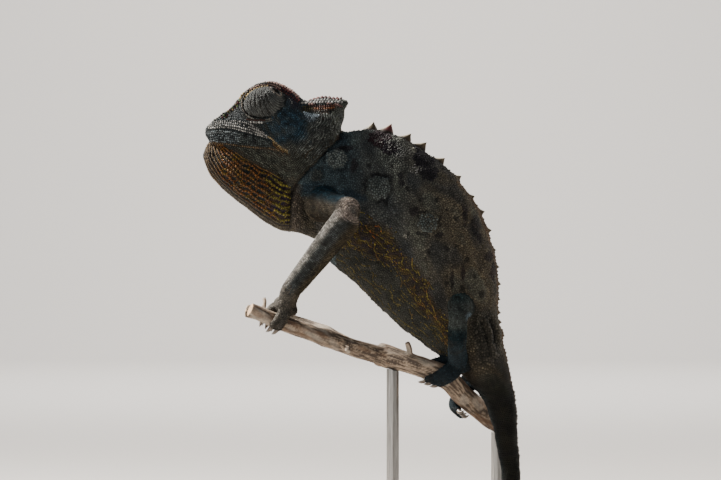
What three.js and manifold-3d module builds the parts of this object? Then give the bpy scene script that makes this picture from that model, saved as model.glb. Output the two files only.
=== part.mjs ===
// A life-size display model of a Namaqua chameleon, reared up with its feet round a forked
// branch, which two rods hold over a flat base.
//
// Millimetres, +Z up. The head faces -X and the animal's left side is towards -Y. The origin is
// the centre of the base's underside.

import * as THREE from "three";
import { mergeVertices } from "three/addons/utils/BufferGeometryUtils.js";
import Module from "manifold-3d";

const wasm = await Module();
wasm.setup();

// ---------------------------------------------------------------- driving dimensions

const GAP = 0.3; // clearance between neighbouring pieces
const LEFT = -1; // sign of Y on the animal's left side
const RIGHT = 1;

const BASE = { length: 126, width: 84, height: 10, corner: 16, chamfer: 1.5 };
const ROD = { radius: 2, sunk: 6 };

// The trunk and tail follow one line in the middle plane. Each station has its centre, half its
// depth from belly to back, and half its width.
const BODY_STATIONS = [
  { name: "inside head", x: -23, z: 149, depth: 6, width: 5 },
  { name: "nape", x: -21.4, z: 144.8, depth: 11.9, width: 8.2 },
  { name: "throat fold", x: -11.7, z: 139.7, depth: 15.4, width: 9.6 },
  { name: "shoulder", x: -2.1, z: 134.9, depth: 21.1, width: 11.4 },
  { name: "chest", x: 5.8, z: 129.1, depth: 22.8, width: 13 },
  { name: "ribs", x: 14.7, z: 121.3, depth: 22.7, width: 13.8 },
  { name: "belly", x: 22.5, z: 109.1, depth: 20.3, width: 13.6 },
  { name: "loin", x: 27, z: 100.5, depth: 17.1, width: 12.4 },
  { name: "hip", x: 31.3, z: 92.6, depth: 12.6, width: 10.4 },
  { name: "pelvis", x: 35.5, z: 85.4, depth: 9.2, width: 8.4 },
  { name: "vent", x: 39.2, z: 78.7, depth: 6.9, width: 6.6 },
  { name: "tail root", x: 42.3, z: 72, depth: 5.2, width: 5 },
  { name: "tail", x: 44.1, z: 64.2, depth: 4.3, width: 4 },
  { name: "tail", x: 45.3, z: 55.6, depth: 3.5, width: 3.3 },
  { name: "tail", x: 46.2, z: 45.1, depth: 3, width: 2.8 },
  { name: "tail", x: 45.6, z: 34.4, depth: 2.6, width: 2.4 },
  { name: "curl", x: 41.4, z: 25.2, depth: 2.2, width: 2.1 },
  { name: "curl", x: 33.4, z: 19.9, depth: 1.9, width: 1.8 },
  { name: "curl", x: 24.6, z: 21.4, depth: 1.6, width: 1.5 },
  { name: "curl", x: 19.4, z: 28.2, depth: 1.25, width: 1.2 },
  { name: "curl", x: 20.8, z: 35.4, depth: 1, width: 0.95 },
  { name: "tip", x: 26.4, z: 37.2, depth: 0.6, width: 0.6 },
];
// Where thin cuts part that line, as a share of the way from one station to the next.
const BODY_CUTS = [
  { after: 3, share: 0.1 },
  { after: 5, share: 0.2 },
  { after: 8, share: 0.2 },
  { after: 10, share: 0.9 },
  { after: 13, share: 0.5 },
  { after: 16, share: 0 },
  { after: 18, share: 0.4 },
];
const BODY_NAMES = [
  "neck",
  "trunk_front",
  "trunk_middle",
  "trunk_rear",
  "tail_1",
  "tail_2",
  "tail_3",
  "tail_4",
];

// Crest of thorns down the back: the share of the body line's length where each stands, and its
// height. A thorn's foot is sunk below the back, and its tip leans over the tail end of the foot.
const THORNS = [
  [0.1118, 2.3],
  [0.1286, 2.7],
  [0.1497, 2.3],
  [0.1704, 2.5],
  [0.2071, 1.9],
  [0.235, 1.4],
  [0.2578, 0.8],
  [0.2758, 1.2],
  [0.3004, 1],
  [0.3304, 0.7],
  [0.3542, 0.7],
  [0.3809, 0.9],
  [0.4036, 0.7],
  [0.424, 0.7],
  [0.4392, 0.6],
];
const THORN = { sunk: 1, lean: 0.72, flatness: 0.56 };

// Cross-sections of the skull across X: the height of its middle line, the height and half
// width of the ridge over the eye and along the casque, the half widths of cheek and jaw, and the
// height of its underside.
const SKULL_STATIONS = [
  { x: -48.8, middle: 153.6, ridge: 153.3, ridgeHalf: 1.2, cheek: 1.8, jaw: 1.4, under: 150.9 },
  { x: -46.8, middle: 155.3, ridge: 155.5, ridgeHalf: 3, cheek: 4.2, jaw: 3.4, under: 149.2 },
  { x: -41.5, middle: 158.7, ridge: 159.4, ridgeHalf: 4.5, cheek: 6.6, jaw: 5.4, under: 147.1 },
  { x: -35.5, middle: 164, ridge: 165.3, ridgeHalf: 5.8, cheek: 8.4, jaw: 7, under: 144.3 },
  { x: -28, middle: 166.6, ridge: 168.1, ridgeHalf: 6.6, cheek: 10, jaw: 8.4, under: 140.6 },
  { x: -21.8, middle: 164.6, ridge: 165.6, ridgeHalf: 6.2, cheek: 11.2, jaw: 9, under: 137 },
  { x: -17.5, middle: 162.9, ridge: 161.9, ridgeHalf: 5.6, cheek: 11.3, jaw: 8.8, under: 141.4 },
  { x: -12, middle: 164, ridge: 161.9, ridgeHalf: 5, cheek: 9.8, jaw: 7.6, under: 147.5 },
  { x: -7.2, middle: 163.3, ridge: 161.4, ridgeHalf: 3.4, cheek: 6.2, jaw: 4.8, under: 151.8 },
  { x: -4.8, middle: 162.5, ridge: 160.8, ridgeHalf: 1.2, cheek: 1.8, jaw: 1.6, under: 157.4 },
];

// Throat pouch, in the same way: where its underside hangs and half its width.
const THROAT_STATIONS = [
  { x: -49.2, top: 147, half: 0.8, under: 144.6 },
  { x: -48, top: 149.2, half: 3, under: 141.6 },
  { x: -45, top: 149.4, half: 5.4, under: 137.4 },
  { x: -39.8, top: 149, half: 7.6, under: 132.6 },
  { x: -34.3, top: 148, half: 8.8, under: 128.4 },
  { x: -28.8, top: 146, half: 9.2, under: 124.4 },
  { x: -24.4, top: 143, half: 9, under: 122.4 },
  { x: -20.6, top: 140, half: 8.2, under: 121.9 },
  { x: -17.4, top: 136, half: 7.4, under: 121 },
  { x: -14, top: 130, half: 5, under: 119.4 },
];

// The turret of fused lids round each eye, and the eyeball in it.
const EYE = {
  centre: { x: -30.1, y: 7.2, z: 162.1 },
  lid: { long: 6.4, out: 6.2, high: 4.95 },
  tilt: THREE.MathUtils.degToRad(-12),
  ball: 3,
  forward: 2.1, // how far the eyeball sits towards the opening
  opening: 1.4,
};
const GAZE_LEFT = new THREE.Vector3(0.7, -0.38, 0.6); // up and back
const GAZE_RIGHT = new THREE.Vector3(-0.35, 0.9, 0.12); // out and a little forward

// Branch: its stem runs forwards and up under the body and forks into a prong for each hand.
const STEM = [
  [46, 17, 60.2],
  [36, 9.4, 67.4],
  [30.6, 0.6, 72.2],
  [25.4, -6.4, 77.6],
  [14.9, -4.6, 81.6],
  [5, 0, 84.4],
];
const STEM_RADIUS = { from: 3.5, to: 3.3 };
const PRONGS = {
  left: [
    [7, -1.6, 83.6],
    [-3, -6.6, 86.6],
    [-13, -13.6, 90.4],
    [-24.2, -18.6, 94.4],
    [-34, -21.5, 98.6],
  ],
  right: [
    [7, 0.6, 83.6],
    [-3, 7.4, 86],
    [-13, 13, 90.6],
    [-24.2, 16.8, 94.4],
    [-36.5, 20.5, 97.2],
  ],
};
const PRONG_RADIUS = { from: 3, to: 2.3 };
const RODS = [
  { name: "stand_rod_front", x: 9.5 },
  { name: "stand_rod_rear", x: 42.6 },
];

// Limbs, for the left side: Y is turned over for the right. Each foot holds the branch at a share
// of its curve's length.
const ARM = {
  shoulder: [-14.6, -7, 131],
  elbow: [-2.7, -29.5, 128.2],
  wrist: [-21.8, -21, 104.2],
  upperRadii: [6.6, 4.8, 3.9, 4.2],
  lowerRadii: [4.4, 4.2, 3.8, 3.3, 3],
};
const LEG_LEFT = {
  hip: [30.8, -5, 98.4],
  knee: [29.2, -22.6, 100.6],
  ankle: [28.9, -15.2, 87],
  upperRadii: [4, 3.7, 3.3, 3],
  lowerRadii: [3, 2.8, 2.8, 3],
};
const LEG_RIGHT = {
  hip: [36.5, 5, 91],
  knee: [32, 24.4, 98.2],
  ankle: [37.4, 17.4, 79.4],
  upperRadii: LEG_LEFT.upperRadii,
  lowerRadii: LEG_LEFT.lowerRadii,
};
// Toes start and end at these angles round the branch, counted from where the palm presses it.
const TOE = { radius: 1.25, tip: 1, pitch: 1.85, clearance: 0.4, from: 26, to: 122 };
const CLAW = { radius: 0.62, tip: 0.28, length: 2.1 };
// Where each foot holds: the share of the branch's length, how far the palm sits from its top
// towards the limb's own side, and how far the toes slant forwards.
const GRIPS = {
  handLeft: { share: 0.79, turn: 14, lean: 3 },
  handRight: { share: 0.77, turn: 14, lean: 3 },
  footLeft: { share: 0.6, turn: 24, lean: 8 },
  footRight: { share: 0.3, turn: 55, lean: 6 },
};
const PALM = { long: 3.9, wide: 3.2, thick: 2.4 };

const COLOURS = {
  skin: { color: 0x4a4640, roughness: 0.8, metalness: 0 },
  throat: { color: 0x7a4a22, roughness: 0.8, metalness: 0 },
  limb: { color: 0x6f665f, roughness: 0.8, metalness: 0 },
  lid: { color: 0x8a8378, roughness: 0.7, metalness: 0 },
  eye: { color: 0x14100c, roughness: 0.15, metalness: 0 },
  branch: { color: 0x8c7660, roughness: 0.9, metalness: 0 },
  base: { color: 0x3a2a1e, roughness: 0.45, metalness: 0 },
  rod: { color: 0x6d6a64, roughness: 0.35, metalness: 1 },
};

// ---------------------------------------------------------------- solids

const vec = (p) => new THREE.Vector3(...p);
const curveThrough = (points) => new THREE.CatmullRomCurve3(points.map(vec), false, "centripetal");

// A three.js geometry as a closed manifold-3d solid with its faces pointing out.
function solid(geometry) {
  const bare = geometry.index ? geometry.toNonIndexed() : geometry.clone();
  bare.deleteAttribute("normal");
  bare.deleteAttribute("uv");
  const merged = mergeVertices(bare, 1e-3);
  const build = (triVerts) =>
    new wasm.Manifold(
      new wasm.Mesh({
        numProp: 3,
        vertProperties: merged.attributes.position.array,
        triVerts,
      }),
    );
  const faces = new Uint32Array(merged.index.array);
  const made = build(faces);
  return made.volume() > 0 ? made : build(faces.reverse());
}

function geometryOf(made) {
  const mesh = made.getMesh();
  const geometry = new THREE.BufferGeometry()
    .setAttribute("position", new THREE.BufferAttribute(mesh.vertProperties, 3))
    .setIndex(new THREE.BufferAttribute(mesh.triVerts, 1));
  geometry.computeVertexNormals();
  return geometry;
}

// The largest body of a solid that a cut has left in several.
function largest(made) {
  return made.decompose().reduce((a, b) => (b.volume() > a.volume() ? b : a));
}

const join = (parts) => parts.reduce((a, b) => a.add(b));
const cut = (made, others) => largest(others.reduce((a, b) => a.subtract(b), made));

const atEnd = (t) => t < 1e-6 || t > 1 - 1e-6;

// Spreads the rings between a sphere's poles over the whole length.
const spreadRings = (t, rings) => THREE.MathUtils.clamp((t * rings - 1) / (rings - 2), 0, 1);

// Draws the rings together towards both ends, where a rounded tube curves most.
const easedToEnds = (t) => (t < 0.5 ? 0.5 * (2 * t) ** 1.35 : 1 - 0.5 * (2 - 2 * t) ** 1.35);

// A sphere whose parallels become cross-sections: place(t, turn) is the point at share t of the
// length and share turn of the way round. Its poles close the ends.
function wrapped(sides, rings, place) {
  const geometry = new THREE.SphereGeometry(1, sides, rings);
  const { position, uv } = geometry.attributes;
  for (let i = 0; i < position.count; i++) {
    const p = place(1 - uv.getY(i), uv.getX(i));
    position.setXYZ(i, p.x, p.y, p.z);
  }
  return solid(geometry);
}

// A round tube along a curve, with rounded or flat ends, grown all over by grow.
function tube(curve, radiusAt, { sides = 10, rings = 12, flat = false, grow = 0 } = {}) {
  const length = curve.getLength();
  const steps = 60;
  const frames = curve.computeFrenetFrames(steps);
  return wrapped(sides, rings, (t, turn) => {
    const pole = atEnd(t);
    const along = flat ? spreadRings(t, rings) : easedToEnds(t);
    const full = radiusAt(along);
    const fromEnd = Math.min(along, 1 - along) * length;
    const rounded = flat ? 1 : Math.sqrt(1 - (1 - Math.min(1, fromEnd / full)) ** 2);
    const radius = pole ? 0 : full * rounded + grow;
    const lengthened = pole || flat ? grow * Math.sign(along - 0.5) : 0;
    const step = Math.round(along * steps);
    const angle = turn * 2 * Math.PI;
    return curve
      .getPointAt(along)
      .addScaledVector(frames.tangents[step], lengthened)
      .addScaledVector(frames.normals[step], radius * Math.cos(angle))
      .addScaledVector(frames.binormals[step], radius * Math.sin(angle));
  });
}

// A radius that runs evenly through the values given.
function through(values) {
  return (t) => {
    const at = t * (values.length - 1);
    const i = Math.min(values.length - 2, Math.floor(at));
    return THREE.MathUtils.lerp(values[i], values[i + 1], at - i);
  };
}

const ellipsoid = (centre, half, { sides = 10, rings = 7, turn = 0, grow = 0 } = {}) =>
  solid(
    new THREE.SphereGeometry(1, sides, rings)
      .scale(half[0] + grow, half[1] + grow, half[2] + grow)
      .rotateY(turn)
      .translate(...centre),
  );

// Smoothly interpolated values of a list of stations, by share of the way along it.
function stationsCurve(stations, keys, places) {
  const values = stations.flatMap((s) => keys.map((k) => s[k]));
  const curve = new THREE.CubicInterpolant(places, values, keys.length, new Float64Array(keys.length));
  return (t) => {
    const found = curve.evaluate(THREE.MathUtils.clamp(t, 0, 1));
    return Object.fromEntries(keys.map((k, i) => [k, found[i]]));
  };
}

// ---------------------------------------------------------------- body line

const bodyPlaces = BODY_STATIONS.reduce((places, s, i) => {
  const last = BODY_STATIONS[i - 1];
  return [...places, last ? places[i - 1] + Math.hypot(s.x - last.x, s.z - last.z) : 0];
}, []).map((d, i, all) => d / all[all.length - 1]);
const bodyAt = stationsCurve(BODY_STATIONS, ["x", "z", "depth", "width"], bodyPlaces);

// Centre of the body line, with the directions towards the tail and towards the back.
function bodyFrame(t) {
  const here = bodyAt(t);
  const before = bodyAt(t - 0.004);
  const after = bodyAt(t + 0.004);
  const tail = new THREE.Vector3(after.x - before.x, 0, after.z - before.z).normalize();
  const back = new THREE.Vector3(-tail.z, 0, tail.x);
  return { ...here, centre: new THREE.Vector3(here.x, 0, here.z), tail, back };
}

// The share of the body line at a share of the way from one station to the next.
const bodyShare = ({ after, share }) =>
  THREE.MathUtils.lerp(bodyPlaces[after], bodyPlaces[after + 1], share);

// The trunk is a tall oval, drawn in to a keel along the back. The tail is nearly round.
function trunkAndTail(grow = 0) {
  const keelEnds = bodyPlaces[11];
  return wrapped(14, 44, (t, turn) => {
    const { centre, back, depth, width } = bodyFrame(t);
    const closing = atEnd(t) ? 0 : 1;
    const up = Math.cos(turn * 2 * Math.PI);
    const side = Math.sin(turn * 2 * Math.PI);
    const keel = THREE.MathUtils.clamp(1 - t / keelEnds, 0, 1) ** 0.5;
    const narrowing = 1 - keel * (up > 0 ? 0.34 * up ** 2 : 0.12 * up ** 2);
    return centre
      .clone()
      .addScaledVector(back, closing * (depth + grow) * up)
      .add(new THREE.Vector3(0, closing * (width * narrowing + grow) * side, 0));
  });
}

// The point where the back crosses the middle plane, at a share of the body line's length.
function backPoint(t) {
  const { centre, back, depth } = bodyFrame(t);
  return centre.addScaledVector(back, depth);
}

// One thorn of the crest: a flattened cone that leans towards the tail.
function thorn(t, height) {
  const foot = backPoint(t);
  const tail = backPoint(t + 0.01).sub(backPoint(t - 0.01)).normalize();
  const out = new THREE.Vector3(-tail.z, 0, tail.x);
  const across = new THREE.Vector3(0, 1, 0);
  const long = 0.66 * height + 1.2;
  const slant = (THORN.lean * long) / (height + THORN.sunk);
  const axes = new THREE.Matrix4().makeBasis(across, out.addScaledVector(tail, slant), tail);
  const cone = new THREE.ConeGeometry(1, height + THORN.sunk, 5)
    .scale(long * THORN.flatness, 1, long)
    .translate(0, (height - THORN.sunk) / 2, 0)
    .applyMatrix4(axes)
    .translate(...foot.addScaledVector(tail, slant * THORN.sunk).toArray());
  return solid(cone);
}

const crest = () => THORNS.map(([t, height]) => thorn(t, height));

// A thin slab square across the body line.
function bodySlab(where) {
  const { centre, tail, depth, width } = bodyFrame(bodyShare(where));
  const slab = new THREE.BoxGeometry(2.2 * width + 4, 2 * depth + 10, GAP).applyMatrix4(
    new THREE.Matrix4().makeBasis(
      new THREE.Vector3(0, 1, 0),
      new THREE.Vector3(-tail.z, 0, tail.x),
      tail,
    ),
  );
  return solid(slab.translate(centre.x, centre.y, centre.z));
}

// ---------------------------------------------------------------- head

const skullPlaces = SKULL_STATIONS.map(
  (s) => (s.x - SKULL_STATIONS[0].x) / (SKULL_STATIONS.at(-1).x - SKULL_STATIONS[0].x),
);
const skullAt = stationsCurve(SKULL_STATIONS, Object.keys(SKULL_STATIONS[0]), skullPlaces);

// Half of a skull section, from the middle of the crown round to the middle of the underside.
function skullSection(s, grow) {
  const tall = s.ridge - s.under;
  return new THREE.SplineCurve([
    new THREE.Vector2(-0.35 * s.ridgeHalf, s.middle + grow),
    new THREE.Vector2(0.35 * s.ridgeHalf, s.middle + grow),
    new THREE.Vector2(s.ridgeHalf + grow, s.ridge + 0.7 * grow),
    new THREE.Vector2(s.cheek + grow, s.under + 0.55 * tall),
    new THREE.Vector2(s.jaw + grow, s.under + 0.16 * tall),
    new THREE.Vector2(0.3 * s.jaw, s.under - grow),
    new THREE.Vector2(-0.3 * s.jaw, s.under - grow),
  ]);
}

function skull(grow = 0) {
  const rings = 17;
  return wrapped(16, rings, (t, turn) => {
    const s = skullAt(spreadRings(t, rings));
    if (atEnd(t))
      return new THREE.Vector3(s.x + (t < 0.5 ? -grow - 0.4 : grow + 0.4), 0, (s.middle + s.under) / 2);
    const half = turn < 0.5 ? turn * 2 : 2 - turn * 2;
    const [first, last] = [1 / 12, 11 / 12]; // where the curve crosses the middle plane
    const p = skullSection(s, grow).getPoint(THREE.MathUtils.lerp(first, last, half));
    const side = turn < 0.5 ? 1 : -1;
    const across = atEnd(half) ? 0 : side * Math.max(p.x, 0);
    return new THREE.Vector3(s.x, across, p.y);
  });
}

const throatPlaces = THROAT_STATIONS.map(
  (s) => (s.x - THROAT_STATIONS[0].x) / (THROAT_STATIONS.at(-1).x - THROAT_STATIONS[0].x),
);
const throatAt = stationsCurve(THROAT_STATIONS, Object.keys(THROAT_STATIONS[0]), throatPlaces);

function throatPouch(grow = 0) {
  const rings = 12;
  return wrapped(12, rings, (t, turn) => {
    const { x, top, half, under } = throatAt(spreadRings(t, rings));
    const middle = (top + under) / 2;
    if (atEnd(t))
      return new THREE.Vector3(x + (t < 0.5 ? -grow - 0.2 : grow + 0.2), 0, middle);
    const up = Math.cos(turn * 2 * Math.PI);
    const side = Math.sin(turn * 2 * Math.PI);
    const keel = up < 0 ? 1 - 0.3 * up ** 2 : 1;
    return new THREE.Vector3(x, (half * keel + grow) * side, middle + ((top - under) / 2 + grow) * up);
  });
}

// A wall-to-wall prism across the head, from an outline in the X-Z plane.
function acrossHead(outline) {
  const width = 60;
  const made = new THREE.ExtrudeGeometry(outline, { depth: width, bevelEnabled: false, curveSegments: 6 });
  return solid(made.rotateX(Math.PI / 2).translate(0, width / 2, 0));
}

// The lower jaw lies under the line of the mouth and ends at the mouth's corner.
function jawRegion(grow = 0) {
  const outline = new THREE.Shape();
  outline.moveTo(-52, 153.9 + grow);
  outline.lineTo(-47, 153.9 + grow);
  outline.quadraticCurveTo(-33, 153 + grow, -22.8 + grow, 147 + grow);
  outline.lineTo(-22.4 + grow, 130);
  outline.lineTo(-52, 130);
  return acrossHead(outline);
}

// The casque is the raised helmet behind the eyes.
function casqueRegion(grow = 0) {
  const outline = new THREE.Shape();
  outline.moveTo(-20.4 - grow, 172);
  outline.lineTo(-20.4 - grow, 160.6 - grow);
  outline.quadraticCurveTo(-13, 157 - grow, 0, 152.6 - grow);
  outline.lineTo(0, 172);
  return acrossHead(outline);
}

function eyeParts(side, gaze) {
  const { centre, lid, tilt, ball, forward, opening } = EYE;
  const at = [centre.x, side * centre.y, centre.z];
  const half = [lid.long, lid.out, lid.high];
  const look = gaze.clone().normalize();
  const seat = vec(at).addScaledVector(look, forward);
  const hole = new THREE.CylinderGeometry(opening + 0.9, opening - 0.5, 6, 8)
    .translate(0, 3 + ball * 0.8, 0)
    .applyQuaternion(new THREE.Quaternion().setFromUnitVectors(new THREE.Vector3(0, 1, 0), look))
    .translate(seat.x, seat.y, seat.z);
  const turret = ellipsoid(at, half, { sides: 12, rings: 8, turn: tilt });
  return {
    lid: cut(turret, [ellipsoid(seat.toArray(), [ball, ball, ball], { grow: GAP }), solid(hole)]),
    socket: ellipsoid(at, half, { sides: 12, rings: 8, turn: tilt, grow: GAP }),
    ball: ellipsoid(seat.toArray(), [ball, ball, ball]),
  };
}

// ---------------------------------------------------------------- branch and stand

const swelling = ({ from, to }, knots) => (t) =>
  THREE.MathUtils.lerp(from, to, t) +
  knots.reduce((sum, k) => sum + k.high * Math.exp(-(((t - k.at) / k.wide) ** 2)), 0);
const stemCurve = curveThrough(STEM);
const stemRadius = swelling(STEM_RADIUS, [
  { at: 0.12, wide: 0.05, high: 0.35 },
  { at: 0.62, wide: 0.05, high: 0.3 },
  { at: 0.97, wide: 0.09, high: 0.5 },
]);
const stem = (grow) => tube(stemCurve, stemRadius, { sides: 8, rings: 12, flat: true, grow });
const prongCurves = { left: curveThrough(PRONGS.left), right: curveThrough(PRONGS.right) };
const prongRadius = swelling(PRONG_RADIUS, [{ at: 0.45, wide: 0.05, high: 0.3 }]);
const prong = (name, grow) =>
  tube(prongCurves[name], prongRadius, { sides: 8, rings: 10, flat: true, grow });

function basePlate() {
  const { length, width, height, corner, chamfer } = BASE;
  const [x, y, r] = [length / 2 - chamfer, width / 2 - chamfer, corner - chamfer];
  const outline = new THREE.Shape();
  outline.absarc(x - r, y - r, r, 0, Math.PI / 2);
  outline.absarc(r - x, y - r, r, Math.PI / 2, Math.PI);
  outline.absarc(r - x, r - y, r, Math.PI, Math.PI * 1.5);
  outline.absarc(x - r, r - y, r, Math.PI * 1.5, Math.PI * 2);
  const plate = new THREE.ExtrudeGeometry(outline, {
    depth: height - 2 * chamfer,
    bevelThickness: chamfer,
    bevelSize: chamfer,
    bevelSegments: 1,
    curveSegments: 2,
  });
  return solid(plate.translate(0, 0, chamfer));
}

// A rod from its socket in the base up into the underside of the stem.
function rod(x, grow = 0) {
  const steps = 200;
  const above = stemCurve
    .getSpacedPoints(steps)
    .reduce((a, b) => (Math.abs(b.x - x) < Math.abs(a.x - x) ? b : a));
  const from = BASE.height - ROD.sunk - grow;
  const made = new THREE.CylinderGeometry(ROD.radius + grow, ROD.radius + grow, above.z - from, 10)
    .rotateX(Math.PI / 2)
    .translate(x, above.y, (above.z + from) / 2);
  return solid(made);
}

// ---------------------------------------------------------------- limbs

// The branch under a foot: a point on its axis, the direction along it towards the head, the
// direction from it to the palm, and the direction square to both on the animal's own side.
function gripOn(curve, radiusAt, { share, turn, lean }, side) {
  const at = curve.getPointAt(share);
  const along = curve.getTangentAt(share);
  const top = new THREE.Vector3(0, 0, 1).addScaledVector(along, -along.z).normalize();
  const aside = new THREE.Vector3().crossVectors(along, top);
  if (aside.y * side < 0) aside.negate();
  const angle = THREE.MathUtils.degToRad(turn);
  const up = top.clone().multiplyScalar(Math.cos(angle)).addScaledVector(aside, Math.sin(angle));
  const out = aside.clone().multiplyScalar(Math.cos(angle)).addScaledVector(top, -Math.sin(angle));
  return { curve, share, lean, at, along, up, out, radius: radiusAt(share) };
}

// A toe bends round the branch from the palm and slants towards the head. way is 1 for the
// bundle on the limb's outer side and -1 for the inner one.
function toe(grip, way, offset, grow) {
  const reach = grip.radius + TOE.clearance + TOE.radius;
  const at = (degrees) => {
    const angle = THREE.MathUtils.degToRad(degrees);
    const slid = offset + grip.lean * (angle / Math.PI);
    const share = THREE.MathUtils.clamp(grip.share + slid / grip.curve.getLength(), 0, 1);
    return grip.curve
      .getPointAt(share)
      .addScaledVector(grip.up, reach * Math.cos(angle))
      .addScaledVector(grip.out, way * reach * Math.sin(angle));
  };
  const steps = 5;
  const curve = new THREE.CatmullRomCurve3(
    Array.from({ length: steps }, (_, i) => at(THREE.MathUtils.lerp(TOE.from, TOE.to, i / (steps - 1)))),
  );
  const tip = curve.getPointAt(0.96);
  const ahead = curve.getTangentAt(1);
  const claw = new THREE.CatmullRomCurve3([
    tip,
    tip.clone().addScaledVector(ahead, CLAW.length * 0.5).addScaledVector(grip.out, way * 0.35),
    tip.clone().addScaledVector(ahead, CLAW.length),
  ]);
  const flesh = through([TOE.radius, TOE.radius, TOE.tip]);
  const horn = through([CLAW.radius, CLAW.radius * 0.8, CLAW.tip]);
  return tube(curve, flesh, { sides: 5, rings: 5, grow }).add(
    tube(claw, horn, { sides: 4, rings: 3, grow }),
  );
}

function toes(grip, way, count, grow = 0) {
  return join(
    Array.from({ length: count }, (_, i) => toe(grip, way, (i - (count - 1) / 2) * TOE.pitch, grow)),
  );
}

// The palm or sole: from the wrist or ankle to a pad that presses on the branch.
function palm(grip, joint, radius, grow = 0) {
  const pad = grip.at.clone().addScaledVector(grip.up, grip.radius + PALM.thick);
  const middle = vec(joint).lerp(pad, 0.5);
  const shank = tube(
    new THREE.CatmullRomCurve3([vec(joint), middle, pad]),
    through([radius, radius * 0.96, radius * 1.05]),
    { sides: 8, rings: 5, grow },
  );
  const cushion = new THREE.SphereGeometry(1, 8, 6)
    .scale(PALM.long + grow, PALM.wide + grow, PALM.thick + grow)
    .applyMatrix4(new THREE.Matrix4().makeBasis(grip.along, grip.out, grip.up))
    .translate(pad.x, pad.y, pad.z);
  return shank.add(solid(cushion));
}

// One limb as solids: upper and lower part, palm, and its two bundles of toes.
function limb({ root, joint, end, upperRadii, lowerRadii, grip, outer, inner }, body) {
  const upper = (grow) =>
    tube(curveThrough([root, joint]), through(upperRadii), { sides: 10, rings: 8, grow });
  const lower = (grow) =>
    tube(curveThrough([joint, end]), through(lowerRadii), { sides: 10, rings: 8, grow });
  const pad = (grow) => palm(grip, end, lowerRadii.at(-1), grow);
  const branch = grip.solid(GAP);
  return {
    upper: cut(upper(0), body),
    lower: cut(lower(0), [upper(GAP), ...body]),
    palm: cut(pad(0), [lower(GAP), branch, ...body]),
    outer: cut(toes(grip, 1, outer), [pad(GAP), branch, ...body]),
    inner: cut(toes(grip, -1, inner), [pad(GAP), branch, ...body]),
  };
}

// ---------------------------------------------------------------- assembly

const model = new THREE.Group();

function add(name, made, look) {
  const mesh = new THREE.Mesh(geometryOf(made), new THREE.MeshStandardMaterial(COLOURS[look]));
  mesh.name = name;
  model.add(mesh);
}

const wholeBody = cut(join([trunkAndTail(), ...crest()]), [skull(GAP)]);
const bodyPieces = BODY_CUTS.reduce((made, where) => made.subtract(bodySlab(where)), wholeBody)
  .decompose()
  .filter((piece) => piece.volume() > 1);
// Each piece is named by the part of the body line that runs through it.
const cutShares = [0, ...BODY_CUTS.map(bodyShare), 1];
BODY_NAMES.forEach((name, i) => {
  const { centre } = bodyFrame((cutShares[i] + cutShares[i + 1]) / 2);
  const probe = ellipsoid(centre.toArray(), [0.3, 0.3, 0.3], { sides: 6, rings: 4 });
  const found = bodyPieces.find((piece) => piece.intersect(probe).volume() > 0);
  add(name, found, "skin");
});

const left = eyeParts(LEFT, GAZE_LEFT);
const right = eyeParts(RIGHT, GAZE_RIGHT);
const wholeHead = cut(skull(), [left.socket, right.socket]);
add("head", cut(wholeHead, [jawRegion(GAP), casqueRegion(GAP)]), "skin");
add("jaw", largest(wholeHead.intersect(jawRegion())), "skin");
add("casque", largest(wholeHead.intersect(casqueRegion())), "skin");
add("throat", cut(throatPouch(), [skull(GAP), trunkAndTail(GAP)]), "throat");
add("eyelid_left", left.lid, "lid");
add("eyelid_right", right.lid, "lid");
add("eye_left", left.ball, "eye");
add("eye_right", right.ball, "eye");

const trunkGrown = [trunkAndTail(GAP), skull(GAP), throatPouch(GAP)];
const prongGrip = (name, grip, side) => ({
  ...gripOn(prongCurves[name], prongRadius, grip, side),
  solid: (grow) => prong(name, grow),
});
const stemGrip = (grip, side) => ({ ...gripOn(stemCurve, stemRadius, grip, side), solid: stem });
const turnedOver = ([x, y, z]) => [x, -y, z];

const armOf = (name, hold, side, mirror) => ({
  root: mirror(ARM.shoulder),
  joint: mirror(ARM.elbow),
  end: mirror(ARM.wrist),
  upperRadii: ARM.upperRadii,
  lowerRadii: ARM.lowerRadii,
  grip: prongGrip(name, hold, side),
  outer: 2,
  inner: 3,
});
const legOf = (leg, hold, side) => ({
  root: leg.hip,
  joint: leg.knee,
  end: leg.ankle,
  upperRadii: leg.upperRadii,
  lowerRadii: leg.lowerRadii,
  grip: stemGrip(hold, side),
  outer: 3,
  inner: 2,
});
const FRONT = ["upper_arm", "forearm", "hand", "fingers"];
const HIND = ["thigh", "shin", "foot", "toes"];
const limbs = [
  { side: "left", words: FRONT, of: armOf("left", GRIPS.handLeft, LEFT, (p) => p) },
  { side: "right", words: FRONT, of: armOf("right", GRIPS.handRight, RIGHT, turnedOver) },
  { side: "left", words: HIND, of: legOf(LEG_LEFT, GRIPS.footLeft, LEFT) },
  { side: "right", words: HIND, of: legOf(LEG_RIGHT, GRIPS.footRight, RIGHT) },
];
for (const { side, words, of } of limbs) {
  const made = limb(of, trunkGrown);
  add(`${words[0]}_${side}`, made.upper, "limb");
  add(`${words[1]}_${side}`, made.lower, "limb");
  add(`${words[2]}_${side}`, made.palm, "limb");
  add(`${words[3]}_outer_${side}`, made.outer, "limb");
  add(`${words[3]}_inner_${side}`, made.inner, "limb");
}

add("perch_stem", stem(0), "branch");
add("perch_prong_left", cut(prong("left", 0), [stem(GAP)]), "branch");
add("perch_prong_right", cut(prong("right", 0), [stem(GAP), prong("left", GAP)]), "branch");
for (const { name, x } of RODS) add(name, cut(rod(x), [stem(GAP)]), "rod");
add("stand_base", cut(basePlate(), RODS.map(({ x }) => rod(x, GAP))), "base");

export default model;
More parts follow.
